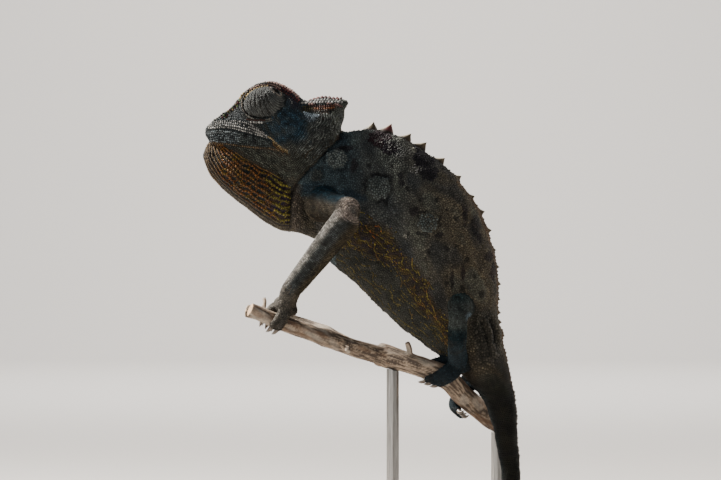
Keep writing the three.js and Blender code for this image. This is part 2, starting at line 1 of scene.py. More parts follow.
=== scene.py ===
"""Looks of a life-size Namaqua chameleon on its branch and display stand.

Lengths are in millimetres until a mesh is made, and metres in Blender. The head faces -X and the
animal's left side is towards -Y. One skin covers the body. Over it lie scales as solid domes, which
take their size from their neighbours and their lie from the part of the body they grow on.
"""

import math

import bmesh
import bpy
import numpy as np
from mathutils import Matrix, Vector
from mathutils.bvhtree import BVHTree
from mathutils.kdtree import KDTree


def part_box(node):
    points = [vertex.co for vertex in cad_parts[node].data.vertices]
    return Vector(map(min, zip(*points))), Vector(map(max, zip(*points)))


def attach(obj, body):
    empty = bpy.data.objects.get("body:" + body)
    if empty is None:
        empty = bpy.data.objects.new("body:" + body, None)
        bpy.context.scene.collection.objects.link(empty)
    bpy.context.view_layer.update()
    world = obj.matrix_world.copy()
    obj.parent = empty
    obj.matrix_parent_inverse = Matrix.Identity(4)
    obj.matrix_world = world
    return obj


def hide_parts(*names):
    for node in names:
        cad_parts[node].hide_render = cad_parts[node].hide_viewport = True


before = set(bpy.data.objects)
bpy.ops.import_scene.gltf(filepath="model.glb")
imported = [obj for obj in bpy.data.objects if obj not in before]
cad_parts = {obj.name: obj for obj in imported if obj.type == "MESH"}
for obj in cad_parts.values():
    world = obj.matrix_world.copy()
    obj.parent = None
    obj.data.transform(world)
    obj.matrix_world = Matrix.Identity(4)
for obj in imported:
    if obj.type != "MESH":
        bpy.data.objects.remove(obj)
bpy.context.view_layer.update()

MM = 0.001
LEFT, RIGHT = SIDES = (-1, 1)
rng = np.random.default_rng(20)

# ---------------------------------------------------------------- the body's dimensions

COAT = 0.3  # how far the skin lies inside the solids it replaces

# Trunk and tail: centre x and z, half the depth from belly to back, half the width.
BODY = np.array([
    (-23, 149, 6, 5), (-21.4, 144.8, 11.9, 8.2), (-11.7, 139.7, 15.4, 9.6),
    (-2.1, 134.9, 21.1, 11.4), (5.8, 129.1, 22.8, 13), (14.7, 121.3, 22.7, 13.8),
    (22.5, 109.1, 20.3, 13.6),
    (27, 100.5, 17.1, 12.4), (31.3, 92.6, 12.6, 10.4), (35.5, 85.4, 9.2, 8.4),
    (39.2, 78.7, 6.9, 6.6), (42.3, 72, 5.2, 5), (44.1, 64.2, 4.3, 4), (45.3, 55.6, 3.5, 3.3),
    (46.2, 45.1, 3, 2.8), (45.6, 34.4, 2.6, 2.4), (41.4, 25.2, 2.2, 2.1), (33.4, 19.9, 1.9, 1.8),
    (24.6, 21.4, 1.6, 1.5), (19.4, 28.2, 1.25, 1.2), (20.8, 35.4, 1, 0.95),
    (26.4, 37.2, 0.6, 0.6),
])
TAIL_ROOT = 11  # station where the keel of the back ends

# Skull, across X: x, middle of the crown, ridge over the eye, half the width of ridge, cheek and
# jaw, underside.
SKULL = np.array([
    (-48.8, 153.6, 153.3, 1.2, 1.8, 1.4, 150.9), (-46.8, 155.3, 155.5, 3, 4.2, 3.4, 149.2),
    (-41.5, 158.7, 159.4, 4.5, 6.6, 5.4, 147.1), (-35.5, 164, 165.3, 5.8, 8.4, 7, 144.3),
    (-28, 166.6, 168.1, 6.6, 10, 8.4, 140.6), (-21.8, 164.6, 165.6, 6.2, 11.2, 9, 137),
    (-17.5, 162.9, 161.9, 5.6, 11.3, 8.8, 141.4), (-12, 164, 161.9, 5, 9.8, 7.6, 147.5),
    (-7.6, 163.3, 161.4, 3.4, 6.2, 4.8, 151.8), (-5.6, 162.4, 160.6, 1.2, 1.8, 1.6, 157.4),
])

# Throat pouch: x, top, half the width, underside.
THROAT = np.array([
    (-49.2, 147, 0.8, 144.6), (-48, 149.2, 3, 141.6), (-45, 149.4, 5.4, 137.4),
    (-39.8, 149, 7.6, 132.6), (-34.3, 148, 8.8, 128.4), (-28.8, 146, 9.2, 124.4),
    (-24.4, 143, 9, 122.4), (-20.6, 140, 8.2, 121.9), (-17.4, 136, 7.4, 121), (-14, 130, 5, 119.4),
])

EYE = np.array((-30.1, 7.2, 162.1))  # centre of the right turret
TURRET = np.array((6.3, 6.1, 4.85))  # half its length, how far it stands out, half its height
TURRET_TILT = math.radians(-12)
EYEBALL = 3.0
EYE_FORWARD = 2.1
PUPIL_HOLE = 1.15
GAZE = {LEFT: np.array((0.7, -0.38, 0.6)), RIGHT: np.array((-0.35, 0.9, 0.12))}
# Axis round which the outer folds of a turret run.
FOLD_AXIS = {LEFT: np.array((0.95, -0.3, 0.1)), RIGHT: np.array((-0.5, 0.85, 0))}
FOLD_PITCH = 0.262

# Thorns of the back: share of the body line where each stands, and its height.
THORNS = [(0.1118, 2.3), (0.1286, 2.7), (0.1497, 2.3), (0.1704, 2.5), (0.2071, 1.9), (0.235, 1.4),
          (0.2578, 0.8), (0.2758, 1.2), (0.3004, 1), (0.3304, 0.7), (0.3542, 0.7), (0.3809, 0.9),
          (0.4036, 0.7), (0.424, 0.7), (0.4392, 0.6)]

STEM = np.array([(46, 17, 60.2), (36, 9.4, 67.4), (30.6, 0.6, 72.2), (25.4, -6.4, 77.6),
                 (14.9, -4.6, 81.6), (5, 0, 84.4)])
STEM_RADIUS = (3.5, 3.3)
PRONGS = {
    LEFT: np.array([(7, -1.6, 83.6), (-3, -6.6, 86.6), (-13, -13.6, 90.4), (-24.2, -18.6, 94.4),
                    (-34, -21.5, 98.6)]),
    RIGHT: np.array([(7, 0.6, 83.6), (-3, 7.4, 86), (-13, 13, 90.6), (-24.2, 16.8, 94.4),
                     (-36.5, 20.5, 97.2)]),
}
PRONG_RADIUS = (3, 2.3)

ARM = {
    "root": (-14.6, 7, 131), "joint": (-2.7, 29.5, 128.2), "end": (-21.8, 21, 104.2),
    "upper": (6.6, 4.8, 3.9, 4.2), "lower": (4.4, 4.2, 3.8, 3.3, 3),
}
LEG = {
    LEFT: {"root": (30.8, 5, 98.4), "joint": (29.2, 22.6, 100.6), "end": (28.9, 15.2, 87)},
    RIGHT: {"root": (36.5, 5, 91), "joint": (32, 24.4, 98.2), "end": (37.4, 17.4, 79.4)},
}
LEG_UPPER = (4, 3.7, 3.3, 3)
LEG_LOWER = (3, 2.8, 2.8, 3)

TOE_RADIUS = 1.22
TOE_PITCH = 1.95
TOE_CLEARANCE = 0.4
TOE_ARC = (26, 122)  # degrees round the branch from where the palm presses
CLAW_LENGTH = 2.3
PALM = (3.9, 3.2, 2.4)

LONG_LIMBS = ("upper_arm", "forearm", "thigh", "shin")
ARM_PARTS = ("upper_arm", "forearm", "hand")
LEG_PARTS = ("thigh", "shin", "foot")
FAR_SHIFT = 1.8  # how far the marks of the right side lie behind those of the left
TURRET_RADIUS = 5.6  # mean, which turns angles on a turret into lengths
HOLE_ANGLE = PUPIL_HOLE / TURRET_RADIUS

# ---------------------------------------------------------------- shaping tools


def length(v):
    """How long each row of an array is."""
    return np.linalg.norm(v, axis=1)


def unit(v):
    v = np.asarray(v, float)
    return v / np.maximum(np.linalg.norm(v, axis=-1, keepdims=True), 1e-9)


def smooth_through(places, values, at):
    """Values that run smoothly through the stations, at the places asked for."""
    places, values, at = (np.asarray(a, float) for a in (places, values, at))
    slopes = np.gradient(values, places, axis=0)
    i = np.clip(np.searchsorted(places, at, side="right") - 1, 0, len(places) - 2)
    span = places[i + 1] - places[i]
    s = np.clip((at - places[i]) / span, 0, 1)
    s, span = (a.reshape(a.shape + (1,) * (values.ndim - 1)) for a in (s, span))
    from_start = (2 * s**3 - 3 * s**2 + 1) * values[i] + (s**3 - 2 * s**2 + s) * span * slopes[i]
    from_end = (3 * s**2 - 2 * s**3) * values[i + 1] + (s**3 - s**2) * span * slopes[i + 1]
    return from_start + from_end


def lengths_along(points):
    steps = length(np.diff(points, axis=0))
    return np.concatenate([[0], np.cumsum(steps)])


def curve_through(points, count=200):
    """A smooth curve through a few points, as evenly spaced points."""
    points = np.asarray(points, float)
    knots = np.concatenate([[0], np.cumsum(length(np.diff(points, axis=0)) ** 0.5)])
    fine = smooth_through(knots, points, np.linspace(0, knots[-1], 600))
    far = lengths_along(fine)
    at = np.linspace(0, far[-1], count)
    return np.stack([np.interp(at, far, fine[:, k]) for k in range(3)], 1)


def even_steps(points, spacing):
    far = lengths_along(points)
    at = np.arange(spacing / 2, far[-1], spacing)
    return np.stack([np.interp(at, far, points[:, k]) for k in range(3)], 1)


def frames_along(points):
    """Directions along a curve and two square to it, which don't spin."""
    tangent = unit(np.gradient(points, axis=0))
    across = np.empty_like(tangent)
    first = np.cross(tangent[0], (0, 1, 0))
    if np.linalg.norm(first) < 0.2:
        first = np.cross(tangent[0], (1, 0, 0))
    across[0] = unit(first)
    for i in range(1, len(points)):
        across[i] = unit(across[i - 1] - tangent[i] * (across[i - 1] @ tangent[i]))
    return tangent, across, np.cross(tangent, across)


def step_up(x, low, high):
    """0 below low and 1 above high, with a soft change between."""
    s = np.clip((x - low) / (high - low), 0, 1)
    return s * s * (3 - 2 * s)


def bump(x, middle, half_width):
    """1 at the middle, falling smoothly to 0 at half_width from it."""
    return np.clip(1 - ((x - middle) / half_width) ** 2, 0, 1) ** 2


def wobble(at, size, seed):
    """Smooth noise from about -1 to 1, which changes over the given size."""
    draw = np.random.default_rng(seed)
    waves = draw.normal(size=(9, 3)) * (3.6 / size)
    return np.sin(at @ waves.T + draw.uniform(0, 6.3, 9)).sum(1) / 3


def from_line(x, z, line):
    """Distance in side view from a bent line."""
    line = np.asarray(line, float)
    nearest = np.full(len(x), 1e9)
    for a, b in zip(line[:-1], line[1:]):
        d = b - a
        s = np.clip(((x - a[0]) * d[0] + (z - a[1]) * d[1]) / (d @ d), 0, 1)
        nearest = np.minimum(nearest, np.hypot(x - a[0] - s * d[0], z - a[1] - s * d[1]))
    return nearest


def height_on(line, x):
    """Height at x of a line drawn in side view."""
    return np.interp(x, *np.array(line).T)


def tree_of(points):
    """A tree that finds the nearest of some points."""
    tree = KDTree(len(points))
    for i, p in enumerate(points):
        tree.insert(p, i)
    tree.balance()
    return tree


def nearest_of(tree, points):
    return np.array([tree.find(p)[1] for p in points], int)


# A part of the body before the skin is drawn over it: its rings of points, which way its scales
# lie, and where each point is on it (share of its length, share of the way round).
parts = []


def add_part(name, rings, lie):
    rings = np.asarray(rings, float)
    count, sides = rings.shape[:2]
    along, around = np.meshgrid(np.linspace(0, 1, count), np.arange(sides) / sides, indexing="ij")
    parts.append({
        "name": name,
        "points": rings.reshape(-1, 3),
        "lie": np.broadcast_to(lie, rings.shape).reshape(-1, 3),
        "along": along.ravel(),
        "around": around.ravel(),
        "shape": (count, sides),
    })


def ring_faces(count, sides):
    """Quads between neighbouring rings, and one face over each end."""
    i, j = np.meshgrid(np.arange(count - 1), np.arange(sides), indexing="ij")
    k = (j + 1) % sides
    quads = np.stack([i * sides + j, i * sides + k, (i + 1) * sides + k, (i + 1) * sides + j], -1)
    last = (count - 1) * sides
    ends = [list(range(sides))[::-1], list(range(last, last + sides))]
    return [list(map(int, q)) for q in quads.reshape(-1, 4)] + ends


def tube_rings(points, radii, sides=24, rounded=(True, True)):
    """Rings of a round tube whose radius runs evenly through radii."""
    count = len(points)
    far = lengths_along(points)
    share = far / far[-1]
    full = np.interp(share, np.linspace(0, 1, len(radii)), radii)
    radius = full.copy()
    for at_end, gap in zip(rounded, (far, far[-1] - far)):
        if at_end:
            near = np.clip(gap / full, 0, 1)
            radius *= np.sqrt(np.maximum(1 - (1 - near) ** 2, 0.002))
    _, across, up = frames_along(points)
    turn = np.arange(sides) / sides * 2 * math.pi
    ring = np.cos(turn)[:, None] * across[:, None] + np.sin(turn)[:, None] * up[:, None]
    return points[:, None] + radius[:, None, None] * ring.reshape(count, sides, 3)


def add_tube(name, points, radii, sides=24, count=60):
    curve = curve_through(points, count)
    tangent = frames_along(curve)[0]
    add_part(name, tube_rings(curve, radii, sides), tangent[:, None])

# ---------------------------------------------------------------- the parts of the body


def body_line(count):
    """Centre, direction towards the tail, direction towards the back, half depth, half width."""
    places = lengths_along(BODY[:, :2])
    places /= places[-1]
    at = smooth_through(places, BODY, np.linspace(0, 1, count))
    centre = np.stack([at[:, 0], 0 * at[:, 0], at[:, 1]], 1)
    tail = unit(np.gradient(centre, axis=0))
    back = np.stack([-tail[:, 2], 0 * tail[:, 0], tail[:, 0]], 1)
    return places, centre, tail, back, at[:, 2] - COAT, at[:, 3] - COAT


BODY_RINGS = 440
station_shares, body_centre, body_tail, body_back, body_depth, body_width = body_line(BODY_RINGS)
BODY_LENGTH = lengths_along(body_centre)[-1]


def back_place(share):
    share = np.atleast_1d(share) * (BODY_RINGS - 1)
    at = body_centre + body_back * (body_depth + COAT)[:, None]
    return np.stack([np.interp(share, np.arange(BODY_RINGS), at[:, k]) for k in range(3)], 1)


def add_body():
    sides = 84
    turn = np.arange(sides) / sides * 2 * math.pi
    up, side = np.cos(turn), np.sin(turn)
    share = np.linspace(0, 1, BODY_RINGS)
    keel = np.clip(1 - share / station_shares[TAIL_ROOT], 0, 1)[:, None] ** 0.5
    narrowing = 1 - keel * np.where(up > 0, 0.34, 0.12) * up**2
    rings = (
        body_centre[:, None]
        + body_back[:, None] * (body_depth[:, None] * up)[..., None]
        + np.array((0, 1, 0)) * (body_width[:, None] * narrowing * side)[..., None]
    )
    add_part("body", rings, body_tail[:, None])


def add_skull():
    count, sides = 130, 72
    share = 0.5 - 0.5 * np.cos(np.linspace(0, math.pi, count))
    x = SKULL[0, 0] + (SKULL[-1, 0] - SKULL[0, 0]) * share
    s = smooth_through(SKULL[:, 0], SKULL, x) - np.array((0, 1, 1, 1, 1, 1, -1)) * COAT
    _, middle, ridge, ridge_half, cheek, jaw, under = s.T
    tall = ridge - under
    outline = np.stack([
        np.stack([-0.35 * ridge_half, middle], 1), np.stack([0.35 * ridge_half, middle], 1),
        np.stack([ridge_half, ridge], 1), np.stack([cheek, under + 0.55 * tall], 1),
        np.stack([jaw, under + 0.16 * tall], 1), np.stack([0.3 * jaw, under], 1),
        np.stack([-0.3 * jaw, under], 1),
    ])
    turn = np.arange(sides) / sides
    half = np.where(turn < 0.5, turn * 2, 2 - turn * 2)
    drawn = smooth_through(np.linspace(0, 1, 7), outline, 1 / 12 + half * 10 / 12)
    across = np.maximum(drawn[..., 0], 0) * np.where(turn < 0.5, 1, -1)[:, None]
    across[np.isclose(half, 0) | np.isclose(half, 1)] = 0
    rings = np.stack([np.broadcast_to(x, across.shape), across, drawn[..., 1]], -1)
    rings = rings.transpose(1, 0, 2)
    middles = np.stack([x, 0 * x, (middle + under) / 2], 1)[:, None]
    closing = np.ones(count)
    closing[0] = closing[-1] = 0.05
    add_part("head", middles + (rings - middles) * closing[:, None, None], (1, 0, 0))


def throat_place(x, turn):
    """The throat's surface at x, turned from its underside (0) round to its top (pi)."""
    top, half, under = smooth_through(THROAT[:, 0], THROAT[:, 1:], x).T
    up, side = -np.cos(turn), np.sin(turn)
    keel = np.where(up < 0, 1 - 0.3 * up**2, 1)
    return np.stack([
        x + 0 * up,
        (half - COAT) * keel * side,
        (top + under) / 2 + ((top - under) / 2 - COAT) * up,
    ], -1)


def add_throat():
    count, sides = 90, 60
    x = np.linspace(THROAT[0, 0], THROAT[-1, 0], count)
    turn = np.arange(sides) / sides * 2 * math.pi
    rings = np.stack([throat_place(x, a + 0 * x) for a in turn], 1)
    add_part("throat", rings, unit(np.gradient(rings, axis=0)))


def add_ball(name, centre, half, tilt=0.0, basis=None, lie=(1, 0, 0)):
    """An ellipsoid, tilted about Y or set on three directions of its own."""
    lat = np.linspace(0, math.pi, 40)
    turn = np.arange(48) / 48 * 2 * math.pi
    round_ball = np.stack([
        np.broadcast_to(np.cos(lat)[:, None], (40, 48)),
        np.sin(lat)[:, None] * np.cos(turn), np.sin(lat)[:, None] * np.sin(turn),
    ], -1)
    if basis is None:
        c, s = math.cos(tilt), math.sin(tilt)
        basis = np.array(((c, 0, -s), (0, 1, 0), (s, 0, c)))
    add_part(name, np.asarray(centre) + (round_ball * np.asarray(half)) @ np.asarray(basis), lie)


def eye_centre(side):
    return EYE * (1, side, 1)


def eye_ridge(side, count):
    """The line of the ridge over an eye, from the snout back to the casque."""
    return curve_through(np.stack([SKULL[:, 0], side * SKULL[:, 3], SKULL[:, 2]], 1), count)


def fold_axis(angle, side):
    """The turret's folds ring the pupil near it, and turn upright further out."""
    gaze, far = unit(GAZE[side]), unit(FOLD_AXIS[side])
    return unit(gaze + (far - gaze) * step_up(np.asarray(angle, float), 0.45, 1.7)[..., None])


def fold_angle(away, side):
    """Angle from the pupil, and angle by which the folds go round."""
    from_pupil = np.arccos(np.clip(unit(away) @ unit(GAZE[side]), -1, 1))
    angle = from_pupil
    for _ in range(3):
        angle = np.arccos(np.clip((unit(away) * fold_axis(angle, side)).sum(1), -1, 1))
    return from_pupil, angle


def add_turret(side):
    name = "turret_left" if side == LEFT else "turret_right"
    add_ball(name, eye_centre(side), TURRET - COAT, tilt=TURRET_TILT)
    gaze = unit(GAZE[side])
    part = parts[-1]
    outward = part["points"] - eye_centre(side)
    part["lie"] = unit(np.cross(np.cross(gaze, unit(outward)), unit(outward)) * -1)


class Grip:
    """How a foot holds a curve of the branch: where, with the palm pressing from which side."""

    def __init__(self, curve, radii, side, share, turn, lean):
        self.curve, self.radii, self.side, self.share, self.lean = curve, radii, side, share, lean
        at = self.place(share)
        along = unit(self.place(share + 0.01) - self.place(share - 0.01))
        top = unit(np.array((0, 0, 1)) - along * along[2])
        aside = np.cross(along, top)
        aside *= 1 if aside[1] * side > 0 else -1
        angle = math.radians(turn)
        self.at, self.along = at, along
        self.up = top * math.cos(angle) + aside * math.sin(angle)
        self.out = aside * math.cos(angle) - top * math.sin(angle)
        self.radius = radii[0] + (radii[1] - radii[0]) * share

    def place(self, share):
        spot = np.clip(share, 0, 1) * (len(self.curve) - 1)
        return np.stack([np.interp(spot, np.arange(len(self.curve)), c) for c in self.curve.T], -1)

    def toe(self, way, offset):
        """Centre line of one toe, with the point where its claw ends."""
        angle = np.radians(np.linspace(*TOE_ARC, 24))
        reach = self.radius + TOE_CLEARANCE + TOE_RADIUS
        slid = (offset + self.lean * angle / math.pi) / lengths_along(self.curve)[-1]
        at = np.stack([self.place(s) for s in self.share + slid])
        return (at + self.up * (reach * np.cos(angle))[:, None]
                + self.out * (way * reach * np.sin(angle))[:, None])


stem_curve = curve_through(STEM)
prong_curves = {side: curve_through(p) for side, p in PRONGS.items()}
grips = {
    ("hand", LEFT): Grip(prong_curves[LEFT], PRONG_RADIUS, LEFT, 0.79, 14, 3),
    ("hand", RIGHT): Grip(prong_curves[RIGHT], PRONG_RADIUS, RIGHT, 0.77, 14, 3),
    ("foot", LEFT): Grip(stem_curve, STEM_RADIUS, LEFT, 0.6, 24, 8),
    ("foot", RIGHT): Grip(stem_curve, STEM_RADIUS, RIGHT, 0.3, 55, 6),
}
TOES = {"hand": ((1, 2), (-1, 3)), "foot": ((1, 3), (-1, 2))}  # outer and inner bundle
side_names = {LEFT: "left", RIGHT: "right"}
claws = []


def add_foot(kind, side, before, joint, radius):
    """The palm or sole, which starts inside the limb, and its toes."""
    grip = grips[kind, side]
    name = f"{kind}_{side_names[side]}"
    pad = grip.at + grip.up * (grip.radius + PALM[2])
    inside = joint + unit(before - joint) * radius * 1.6
    add_tube(name, [inside, joint, (joint + pad) / 2, pad],
             (radius, radius, radius * 0.98, radius * 1.05))
    add_ball(name, pad, np.array(PALM) - COAT / 2, basis=np.array((grip.along, grip.out, grip.up)),
             lie=grip.along)
    for way, count in TOES[kind]:
        for i in range(count):
            line = grip.toe(way, (i - (count - 1) / 2) * TOE_PITCH)
            knuckles = (1.24, 1.16, 1.26, 1.14, 1.22, 1.02)
            add_tube(name, line, np.array(knuckles) * (TOE_RADIUS - COAT / 3) / 1.22, 16, 40)
            claws.append({"name": name, "tip": line[-1], "ahead": unit(line[-1] - line[-4]),
                          "bow": grip.out * way})


def add_limbs():
    mirror = np.array((1, -1, 1))
    for side in SIDES:
        flip = mirror if side == LEFT else 1
        s = side_names[side]
        root, joint, end = (np.array(ARM[k]) * flip for k in ("root", "joint", "end"))
        add_tube(f"upper_arm_{s}", [root, joint], np.array(ARM["upper"]) - COAT / 2, 32)
        past = end + unit(end - joint) * 1.5
        add_tube(f"forearm_{s}", [joint, (joint + end) / 2, past],
                 np.array(ARM["lower"]) - COAT / 2, 32)
        add_foot("hand", side, joint, end, ARM["lower"][-1] - COAT / 2)
        root, joint, end = (np.array(LEG[side][k]) * flip for k in ("root", "joint", "end"))
        add_tube(f"thigh_{s}", [root, joint], np.array(LEG_UPPER) - COAT / 2, 32)
        past = end + unit(end - joint) * 1.2
        add_tube(f"shin_{s}", [joint, past], np.array(LEG_LOWER) - COAT / 2, 32)
        add_foot("foot", side, joint, end, LEG_LOWER[-1] - COAT / 2)


add_body()
add_skull()
add_throat()
for side in SIDES:
    add_turret(side)
add_limbs()

# ---------------------------------------------------------------- the skin

SKIN_VOXEL = 0.54
# Raised discs of the flank: x, z, radius, how pale.
ROSETTES = [(-7.6, 144.6, 3.1, 1.12), (-14, 139.6, 1.9, 0.74), (5.1, 135.7, 3.7, 0.97),
            (20.1, 124.9, 3.2, 0.92)]
MOUTH = [(-50, 153.2), (-46.8, 153.3), (-44, 153.9), (-41, 153.9), (-37.6, 153.1), (-33.9, 152.2),
         (-30.8, 151.3), (-28.6, 150.4), (-25.8, 148.3), (-23, 146.4)]
NOSTRIL = np.array((-41.6, 157.7))
CASQUE_CREASE = [(-9.8, 159.6), (-9.2, 157.1), (-8.6, 154.4), (-7.4, 150.7)]
NECK_CREASE = [(-7.2, 151), (-11.1, 147.3), (-14.1, 143.6), (-16.6, 141.4), (-20.0, 137.5),
               (-21.8, 134.4), (-22.6, 128.9), (-22.8, 122.7)]
THROAT_TOP = [(-42.4, 149), (-40, 147.6), (-37.5, 146), (-35, 144.5), (-32, 142.8), (-28.5, 141),
              (-25.5, 139.4), (-22.7, 138)]
THROAT_LOW = [(-48.4, 148), (-49, 144.6), (-47.6, 140.8), (-44, 136.2), (-39.8, 132.3),
              (-34.3, 128.1), (-28.8, 124.2), (-25, 122.4), (-22.8, 122.1)]
BELLY_FOLD = [(-5.2, 111.7), (-3.1, 112.3), (1.2, 112.3), (4.9, 111.1), (7.9, 109.3)]
SHOULDER_FOLD = [(-18.1, 135.0), (-15.3, 133.1), (-11.3, 130.7), (-7.7, 127.3)]
HIP_FOLDS = [[(36.4, 94.6), (37.9, 91), (38.7, 87.6), (39.3, 84.6)],
             [(39.4, 95), (40.6, 91.4), (41, 88)]]
# Number of a row of the throat by share of the throat's depth.
FAN_ROWS = ((0, 0.06, 0.74, 0.86, 1), (0.5, 1.5, 7.7, 9.2, 11.6))
RIM_ROW = 9  # the fine rows of the throat's lower edge start here


def rows_between(top, bottom, count):
    """Lines that pass gradually from one line to another, each with its share of the way."""
    ends = [curve_through(np.insert(np.asarray(line, float), 1, 0, axis=1), 40)[:, ::2]
            for line in (top, bottom)]
    for k in range(count):
        share = k / (count - 1)
        yield share, ends[0] * (1 - share) + ends[1] * share


def only_selected(obj):
    bpy.ops.object.select_all(action="DESELECT")
    obj.select_set(True)
    bpy.context.view_layer.objects.active = obj


def mesh_piece(name, points, triangles):
    """A new object from points in millimetres and triangles."""
    mesh = bpy.data.meshes.new(name)
    mesh.vertices.add(len(points))
    mesh.vertices.foreach_set("co", np.asarray(points * MM, np.float32).ravel())
    triangles = np.asarray(triangles, np.int32)
    mesh.loops.add(triangles.size)
    mesh.loops.foreach_set("vertex_index", triangles.ravel())
    mesh.polygons.add(len(triangles))
    mesh.polygons.foreach_set("loop_start", np.arange(0, triangles.size, 3, dtype=np.int32))
    mesh.polygons.foreach_set("use_smooth", np.ones(len(triangles), bool))
    mesh.update(calc_edges=True)
    obj = bpy.data.objects.new(name, mesh)
    bpy.context.scene.collection.objects.link(obj)
    return obj


def read_points(mesh, what="co"):
    """The points of a mesh in metres, or their normals."""
    out = np.empty(len(mesh.vertices) * 3, np.float32)
    source = mesh.vertices if what == "co" else mesh.vertex_normals
    source.foreach_get("co" if what == "co" else "vector", out)
    return out.reshape(-1, 3).astype(float)


def write_points(obj, at):
    obj.data.vertices.foreach_set("co", (at * MM).astype(np.float32).ravel())
    obj.data.update()


def read_edges(mesh):
    out = np.empty(len(mesh.edges) * 2, np.int32)
    mesh.edges.foreach_get("vertices", out)
    return out.reshape(-1, 2)


def melted(values, edges, strength, rounds):
    """Values drawn towards the mean of their neighbours."""
    one, two = edges.T
    count = np.bincount(edges.ravel(), minlength=len(values))[:, None]
    values = values.copy()
    for _ in range(rounds):
        total = np.stack([np.bincount(one, values[two, k], len(values))
                          + np.bincount(two, values[one, k], len(values))
                          for k in range(values.shape[1])], 1)
        values += strength * (total / count - values)
    return values


def voxel_wrap(obj, size):
    """One closed mesh of even facets round all that an object holds."""
    only_selected(obj)
    wrap = obj.modifiers.new("wrap", "REMESH")
    wrap.mode = "VOXEL"
    wrap.voxel_size = size * MM
    wrap.use_smooth_shade = True
    bpy.ops.object.modifier_apply(modifier="wrap")


def wrap_parts():
    """One closed mesh round all the parts, as a sculptor would wrap a form."""
    mesh = bpy.data.meshes.new("skin")
    faces, start = [], 0
    for p in parts:
        faces += [[k + start for k in f] for f in ring_faces(*p["shape"])]
        start += len(p["points"])
    mesh.from_pydata((np.concatenate([p["points"] for p in parts]) * MM).tolist(), [], faces)
    skin = bpy.data.objects.new("skin", mesh)
    bpy.context.scene.collection.objects.link(skin)
    voxel_wrap(skin, SKIN_VOXEL)
    return skin


def scalloped(at, cx, cz):
    """Distance in side view from the middle of a raised disc with a frilled edge."""
    dx, dz = at[:, 0] - cx - np.where(at[:, 1] > 0, FAR_SHIFT, 0), at[:, 2] - cz
    turn = np.arctan2(dz, dx)
    frill = 1 + 0.08 * np.sin(7 * turn + cx) + 0.05 * np.sin(11 * turn + cz)
    return np.hypot(dx, dz) * frill + 0.3 * wobble(at, 3, 7)


def throat_fan(at):
    """Where points are on the fan of the throat: share across its rows, and millimetres along."""
    found = nearest_of(fan_tree, at * (1, 0, 1))
    return fan_share[found], fan_far[found]


FAN_STEP = 0.12
fan_lines = [(s, even_steps(np.insert(line, 1, 0, axis=1), FAN_STEP))
             for s, line in rows_between(THROAT_TOP, THROAT_LOW, 141)]
fan_share = np.concatenate([np.full(len(line), s) for s, line in fan_lines])
fan_far = np.concatenate([np.arange(len(line)) * FAN_STEP for _, line in fan_lines])
fan_tree = tree_of(np.concatenate([line for _, line in fan_lines]))


def behind_jaw(x, z):
    """How far points are behind the jaw's rear edge."""
    line = np.array(NECK_CREASE)[::-1]
    return x - np.interp(z, line[:, 1], line[:, 0])


def throat_row(at, share):
    """Number of the fan's row a point is on, whole on its strands, with a slight waver."""
    flat = at * (1, 0.3, 1)
    return np.interp(share, *FAN_ROWS) + 0.17 * wobble(flat, 4, 81) + 0.08 * wobble(flat, 1.8, 82)


def fold_height(at, turned):
    """0 in the thin grooves that ring a turret, 1 on the folds between them."""
    place = (turned + 0.035 * wobble(at, 5, 71) - 0.42) / FOLD_PITCH
    return step_up(np.abs(place - np.round(place)), 0.04, 0.3)


skin = wrap_parts()
places = read_points(skin.data) / MM
edges = read_edges(skin.data)

part_points, part_lie, part_along, part_around = (
    np.concatenate([p[what] for p in parts]) for what in ("points", "lie", "along", "around"))
part_lie = unit(part_lie)
part_name = np.concatenate([np.full(len(p["points"]), p["name"]) for p in parts])
nearest = nearest_of(tree_of(part_points), places)
along, around, names = part_along[nearest], part_around[nearest], part_name[nearest]


def starts_with(names, *what):
    return np.logical_or.reduce([np.char.startswith(names, w) for w in what])


def on(*what):
    """Which skin points lie on parts whose names start so."""
    return starts_with(names, *what)


def gaps_from(arm_reaches, leg_reaches):
    """How far the skin's points are from the joints of each limb, with each joint's reach."""
    for side in SIDES:
        for limb, reaches in ((ARM, arm_reaches), (LEG[side], leg_reaches)):
            for spot, reach in reaches.items():
                yield length(places - np.array(limb[spot]) * (1, side, 1)), reach


# Limbs flow into the trunk, and into each other at elbows and knees.
melt = np.zeros(len(places))
for gap, reach in gaps_from({"root": 11.5, "joint": 4.5, "end": 3.5},
                            {"root": 9.5, "joint": 5, "end": 4}):
    melt = np.maximum(melt, bump(gap, 0, reach))
for _ in range(4):
    places = melted(places, edges, 0.5, 1)
    places = melted(places, edges, -0.52, 1)
places = melted(places, edges, 0.5, 2)
places = melted(places, edges, np.minimum(melt * 1.6, 1)[:, None] * 0.7, 26)
write_points(skin, places)
normals = read_points(skin.data, "normal")
# Loose skin spans the hollows where the upper arms and thighs leave the trunk.
span = np.zeros(len(places))
for gap, reach in gaps_from({"root": 15}, {"root": 11}):
    span = np.maximum(span, np.minimum(1.6 * bump(gap, 0, reach), 1))
near = np.flatnonzero(span > 0)
inside = (span > 0)[edges].all(1)
local = np.full(len(places), -1)
local[near] = np.arange(len(near))
for _ in range(90):
    drawn = melted(places[near], local[edges[inside]], 1, 1) - places[near]
    out = np.maximum((drawn * normals[near]).sum(1), 0) * span[near]
    places[near] += normals[near] * (0.8 * out)[:, None]


# What a sculptor would press in (less than 0) or raise (more than 0), in millimetres.
x, y, z = places.T
press = np.zeros(len(places))
head, throat, body = on("head"), on("throat"), on("body")
turret = on("turret")

